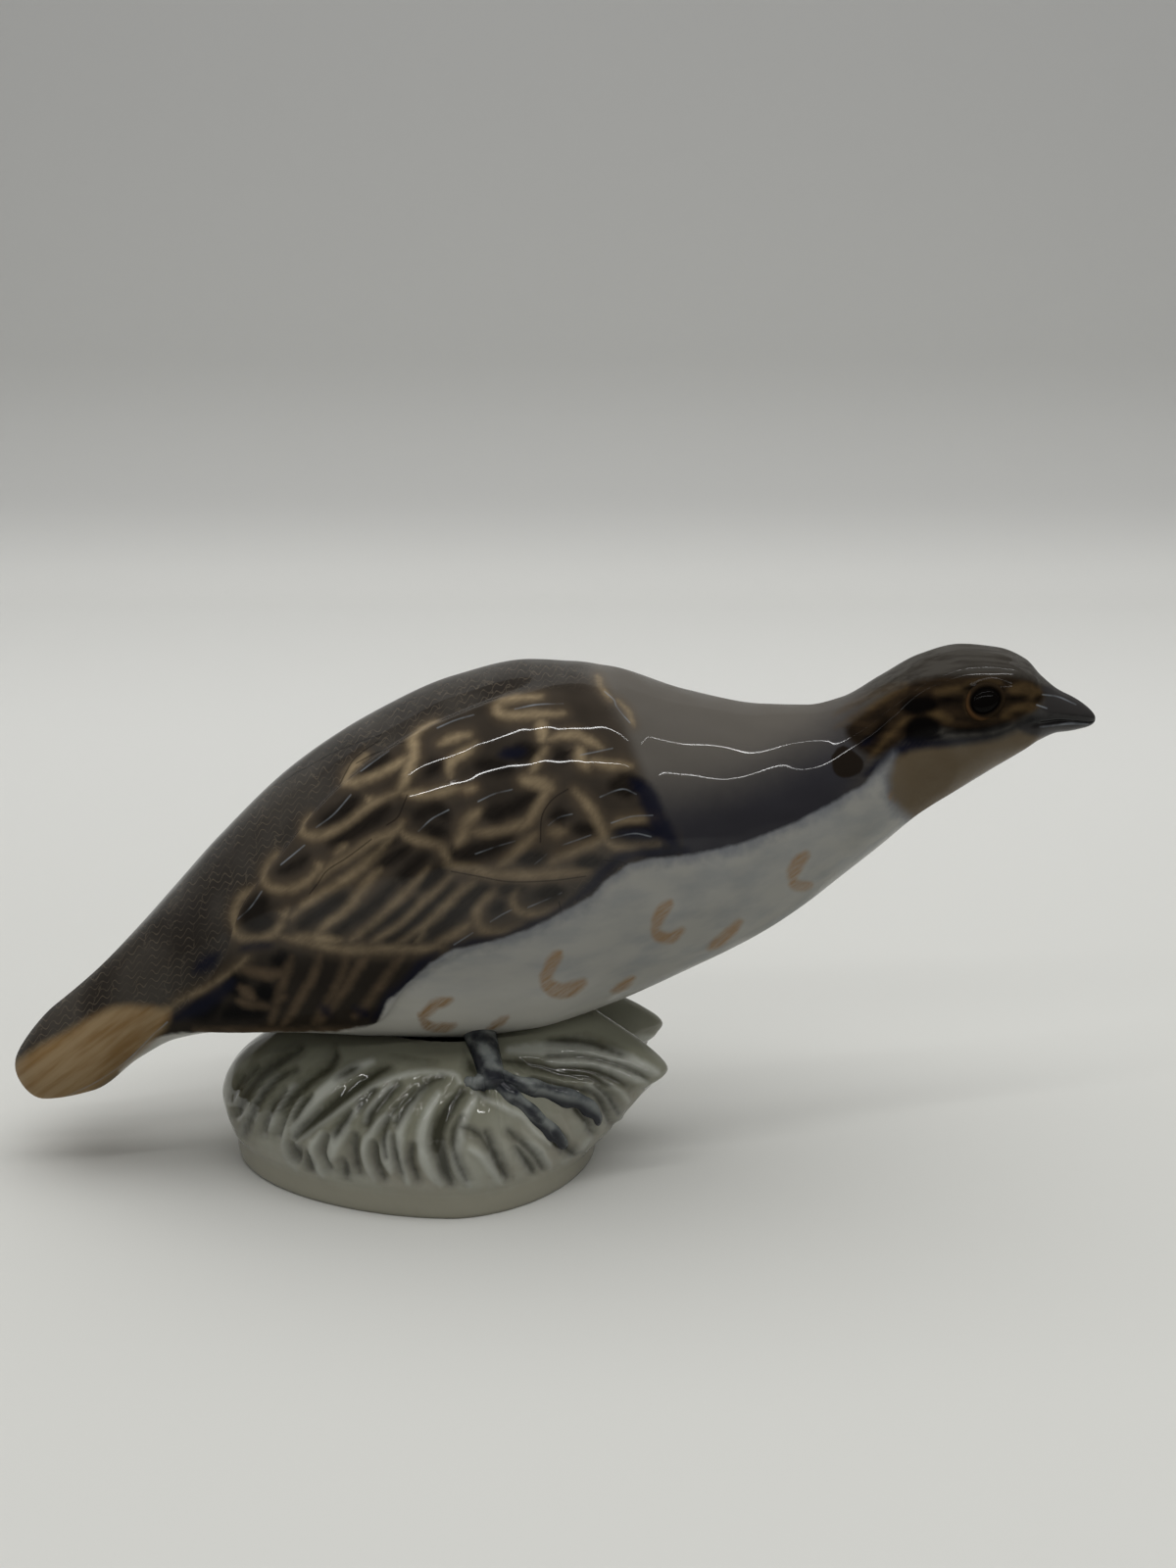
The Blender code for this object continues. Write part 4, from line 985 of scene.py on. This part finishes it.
VALLEYS = [
    (3.0, (248, 1098), (240, 1110), (236, 1122)),
    (5.5, (306, 1071), (286, 1082), (268, 1096), (255, 1111), (246, 1125), (241, 1138)),
    (4.0, (300, 1092), (284, 1100), (272, 1112), (262, 1126), (254, 1142), (249, 1157)),
    (4.5, (342, 1066), (341, 1080), (334, 1091), (318, 1102), (304, 1113), (294, 1124), (286, 1134)),
    (4.0, (292, 1113), (281, 1126), (273, 1140), (268, 1155)),
    (3.5, (316, 1118), (306, 1130), (300, 1142)),
    (3.5, (348, 1098), (364, 1089)),
    (5.5, (396, 1090), (376, 1101), (352, 1118), (332, 1134), (312, 1150), (302, 1160)),
    (4.0, (358, 1134), (348, 1148), (342, 1158)),
    (3.5, (382, 1112), (372, 1122), (364, 1133)),
    (4.0, (406, 1108), (393, 1121), (380, 1136), (374, 1150)),
    (3.5, (450, 1101), (434, 1108), (424, 1118), (412, 1132), (404, 1146)),
    (7.0, (472, 1115), (459, 1132), (450, 1148), (446, 1164), (450, 1180), (453, 1194), (460, 1206)),
    (3.0, (382, 1168), (384, 1186), (391, 1202)),
    (3.0, (420, 1170), (419, 1186), (426, 1203)),
    (3.5, (312, 1178), (318, 1195)),
    (4.0, (298, 1168), (304, 1183)),
    (3.5, (350, 1186), (353, 1203)),
    (3.5, (362, 1160), (361, 1178), (366, 1197)),
    (4.5, (484, 1104), (496, 1117)),
    (4.0, (496, 1158), (504, 1178), (517, 1202)),
    (3.0, (528, 1172), (540, 1188), (548, 1202)),
    (5.0, (514, 1083), (545, 1088), (575, 1096), (602, 1099), (620, 1108)),
    (3.0, (545, 1102), (562, 1106), (580, 1111), (602, 1114), (613, 1122), (619, 1134), (624, 1145)),
    (3.0, (608, 1107), (622, 1120), (631, 1136)),
    (4.0, (560, 1061), (600, 1064), (634, 1076)),
    (4.0, (570, 1091), (606, 1093), (640, 1107)),
    (4.0, (398, 1063), (430, 1065), (466, 1066)),
    (6.0, (472, 1070), (479, 1084), (486, 1098)),
    (4.0, (566, 1158), (578, 1171), (588, 1180)),
    (2.5, (330, 1098), (312, 1110), (300, 1122), (290, 1140), (284, 1158)),
    (2.5, (262, 1088), (248, 1104), (242, 1116)),
    (2.5, (424, 1112), (408, 1128), (396, 1142), (391, 1160), (394, 1180)),
    (2.0, (334, 1160), (330, 1176), (336, 1192)),
    (2.5, (470, 1140), (462, 1160), (466, 1184), (476, 1204)),
    (2.0, (400, 1160), (404, 1180), (410, 1198)),
    (2.0, (520, 1156), (532, 1166), (546, 1180), (556, 1196)),
    (2.0, (560, 1078), (600, 1079), (640, 1090), (660, 1100)),
    (2.0, (470, 1150), (490, 1160), (503, 1180)),
    (2.5, (398, 1076), (420, 1080), (446, 1083)),
    (2.0, (590, 1132), (600, 1142), (604, 1154)),
]
RIDGE_HEIGHT, VALLEY_DEPTH, FLUTE_SHARE = 0.6, 1.0, 0.1
RIDGE_EDGE, VALLEY_EDGE, PLINTH_EDGE, NO_VALLEY = (-6.0, 3.0), (-7.0, 5.0), (0.0, 0.6), 12.0
reach = mound_reach(turn, level)
seen = photo_place(mound_place(turn, level, reach - BLADE_DEPTH * BLADE_MIDDLE * fade))
ridges, valleys = brush(*seen, RIDGES), brush(*seen, VALLEYS)
carving = RIDGE_HEIGHT * step(ridges, *RIDGE_EDGE) - VALLEY_DEPTH * step(valleys, *VALLEY_EDGE)
carving -= BLADE_DEPTH * BLADE_MIDDLE
carving -= BLADE_DEPTH * FLUTE_SHARE * (valley / np.maximum(fade, 1e-6) - BLADE_MIDDLE)
near_side = mound_place(turn, level, reach + carving * fade)
grass = Finish("glazed_grass", Coat_Weight=0.9, Coat_Roughness=0.04, Coat_IOR=1.5, **PAINT)
# Painted light on the grass: pale highlights on the ridges, shade in the valleys and high up under the bird
GRASS, GRASS_WARM, GRASS_RIDGE_HIGHLIGHT = shade(156, 156, 143), shade(147, 141, 126), shade(182, 184, 175)
GRASS_SHADE_UNDER_BIRD, GRASS_VALLEY_SHADE, PLINTH_GREY = shade(120, 120, 104), shade(40, 39, 26), shade(148, 145, 129)
on_grass = grass.place()
mottle = grass.noise(on_grass, 90.0, 3.0)
fleck = grass.noise(on_grass, 500.0, 3.0) - 0.5
# Painted shade under the bird: the grass is darker high up and towards the rear
shade_under_bird = grass.axis("Z") + grass.axis("X") * -0.12 + (mottle - 0.5) * 0.012
ridge, valley = grass.field("ridge"), grass.field("valley")
grass_with_painted_light = grass.coats(
    GRASS,
    (grass.soft(mottle, 0.35, 0.7) * 0.7, GRASS_WARM),
    (grass.soft(shade_under_bird, 0.013, 0.03), GRASS_SHADE_UNDER_BIRD),
    # Painted highlights on the ridges
    (grass.soft(ridge + fleck * 4.0, -4.5, 3.5) * 0.65, GRASS_RIDGE_HIGHLIGHT),
    # Painted shade in the valleys
    (grass.soft(valley + fleck * 6.0, -10.0, 1.0) * 0.45, GRASS_VALLEY_SHADE),
    (grass.soft(valley + fleck * 5.0, -2.5, 4.5) * 0.85, GRASS_VALLEY_SHADE),
    (grass.soft(grass.axis("Z") + fleck * 0.002, 0.009, 0.004), PLINTH_GREY),
)
grass.feed("Base Color", grass_with_painted_light)
grass.ripple(grass.noise(on_grass, 140.0, 2.0), 0.0015, 0.3)
# The far side is the near one mirrored, and the plinth takes none of the painted shade of the valleys
far_side = (near_side * (1, -1, 1))[:, -2:0:-1]
whole = np.concatenate([near_side, far_side], axis=1)
grass_fields = {"ridge": ridges, "valley": valleys - NO_VALLEY * (1 - step(fade, *PLINTH_EDGE))}
grass_fields = {name: np.concatenate([side, side[:, -2:0:-1]], axis=1) for name, side in grass_fields.items()}
count, around, _ = whole.shape
faces = ring_faces(count, around)[:, [0, 3, 2, 1]].tolist() + [list(range(around))]
mound = smooth_mesh("grass", (whole.reshape(-1, 3) * MM).tolist(), faces, grass.material)
keep_fields(mound, grass_fields)
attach(mound, "root")

# The feet: a short shank from the belly and three toes on each side, spread over the grass
# They are modelled in the porcelain and washed blue-grey, with navy painted as shade under and between the
# toes and in places on the shank.
SHANK_X, SHANK_TURN, HEEL_DEPTH = -15.0, 203.0, 2.5
SHANK_TOP_RADIUS, SHANK_RADIUS, TOE_RADIUS, CLAW_RADIUS = 4.0, 2.3, 1.8, 0.9
TOE_ROOT, TOE_SINK, WALL, SHANK_LIT = 2.2, 0.5, 4.0, 0.6
KNUCKLES, KNUCKLE_SWELL = 4, 0.13
TOE_SIDES, TOE_CUTS = 24, 8
# The turns and levels on the mound that each toe follows, from the heel to the claw
TOES = [
    [(72.4, 29.3), (68.2, 27.4), (63.9, 25.0), (59.1, 21.9), (53.8, 18.5), (48.9, 15.2), (44.4, 11.6)],
    [(70.5, 29.6), (61.8, 27.6), (54.3, 25.9), (47.6, 24.1), (41.8, 22.4), (37.8, 20.3), (34.8, 17.8),
     (32.3, 14.9)],
    [(75.0, 29.5), (80.3, 29.2), (84.0, 29.9)],
]
FOOT_PALE, FOOT_GREY, FOOT_NAVY = shade(118, 122, 119), shade(76, 80, 82), shade(20, 21, 30)
scale_grey = Finish("glazed_foot", Coat_Weight=0.6, Coat_Roughness=0.04, **PAINT)
blotch = scale_grey.noise(scale_grey.place(), 260.0, 3.0)
# Painted navy shade at the listed places and under each toe
in_shade = scale_grey.soft(scale_grey.field("dark") + (blotch - 0.5) * 10.0, -5.0, 4.0)
in_shade = in_shade.larger(scale_grey.soft(scale_grey.field("over") + (blotch - 0.5) * 0.8, 0.0, -0.6)) * 0.9
wash = scale_grey.coats(FOOT_PALE, (scale_grey.soft(blotch, 0.35, 0.7), FOOT_GREY), (in_shade, FOOT_NAVY))
scale_grey.feed("Base Color", wash)
# The places of painted navy shade on the foot, by where they show in the photograph
FOOT_SHADE_PLACES = [
    (5.0, (478, 1060), (492, 1058), (508, 1058)),
    (4.0, (482, 1066), (488, 1082), (494, 1094)),
    (7.0, (494, 1090), (504, 1098), (514, 1106), (526, 1114)),
    (4.5, (512, 1096), (524, 1103), (538, 1113), (548, 1124)),
    (2.5, (546, 1108), (562, 1110), (576, 1113)),
    (2.5, (556, 1150), (568, 1160), (576, 1168)),
    (3.0, (486, 1108), (498, 1118)),
    (7.0, (474, 1062), (484, 1078), (492, 1094)),
    (4.0, (524, 1122), (540, 1134), (552, 1146)),
    (3.0, (500, 1062), (508, 1072), (510, 1086)),
]


def tube(path, radii, root):
    """The rings of a tapering tube along a smooth path, drawn down below to a deeper root."""
    path, rings = np.array(path), []
    for number, place in enumerate(path):
        ahead = path[min(number + 1, len(path) - 1)] - path[max(0, number - 1)]
        ahead = ahead / np.linalg.norm(ahead)
        side = np.cross(ahead, (0, 0, 1))
        side = side / np.linalg.norm(side)
        over = np.cross(side, ahead)
        for k in range(TOE_SIDES):
            turn = 2 * math.pi * k / TOE_SIDES
            rise = math.sin(turn) * (1 if math.sin(turn) > 0 else root)
            rings.append(place + (side * math.cos(turn) + over * rise) * radii[number])
    return rings


def smooth_path(knots, cuts):
    """A smooth line through knots in space."""
    knots = np.array(knots, float)
    ends = np.arange(len(knots))
    at = np.linspace(0, len(knots) - 1, cuts * (len(knots) - 1) + 1)
    return np.stack([steady(np.stack([ends, knots[:, k]], axis=1), at) for k in range(3)], axis=-1)


toes = []
for rows in TOES:
    turns, levels = np.array(rows).T
    toes.append(mound_place(turns, levels, mound_reach(turns, levels) - TOE_SINK))
knee_at, knee_turn = np.array([SHANK_X]), np.array([SHANK_TURN])
knee = (skin(knee_at, knee_turn) - skin_normal(knee_at, knee_turn) * WALL)[0]
heel = toes[0][0]
under_heel = heel + (heel - knee) / np.linalg.norm(heel - knee) * HEEL_DEPTH
limbs = [([knee, (knee + heel) / 2, heel, under_heel], SHANK_TOP_RADIUS, SHANK_RADIUS, 1.0)]
limbs += [(toe, TOE_RADIUS, CLAW_RADIUS, TOE_ROOT) for toe in toes]
around_limb = 2 * math.pi * np.arange(TOE_SIDES) / TOE_SIDES
points, faces, heights = [], [], []
for knots, thick, thin, root in limbs:
    path = smooth_path(knots, TOE_CUTS)
    at = np.linspace(0, 1, len(path))
    # Each limb tapers, and its end is rounded over the last tenth. Only the toes have knuckles.
    radii = (thick + (thin - thick) * at) * np.sqrt(np.clip((1.02 - at) / 0.1, 0.01, 1))
    radii *= 1 + KNUCKLE_SWELL * np.cos(2 * math.pi * KNUCKLES * at) * (root > 1)
    base, last = len(points), len(points) + (len(path) - 1) * TOE_SIDES
    points += tube(path, radii, root)
    heights += [*(np.sin(around_limb) if root > 1 else np.full(TOE_SIDES, SHANK_LIT))] * len(path)
    faces += (ring_faces(len(path), TOE_SIDES) + base).tolist()
    faces.append([last + k for k in range(TOE_SIDES)])
    faces.append([base + TOE_SIDES - 1 - k for k in range(TOE_SIDES)])
points = np.array(points)
foot_fields = {"dark": brush(*photo_place(points), FOOT_SHADE_PLACES), "over": heights}
for name, side in (("foot_right", 1), ("foot_left", -1)):
    sided = [face[::side] for face in faces]
    foot = smooth_mesh(name, (points * (1, side, 1) * MM).tolist(), sided, scale_grey.material)
    keep_fields(foot, foot_fields)
    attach(foot, "root")
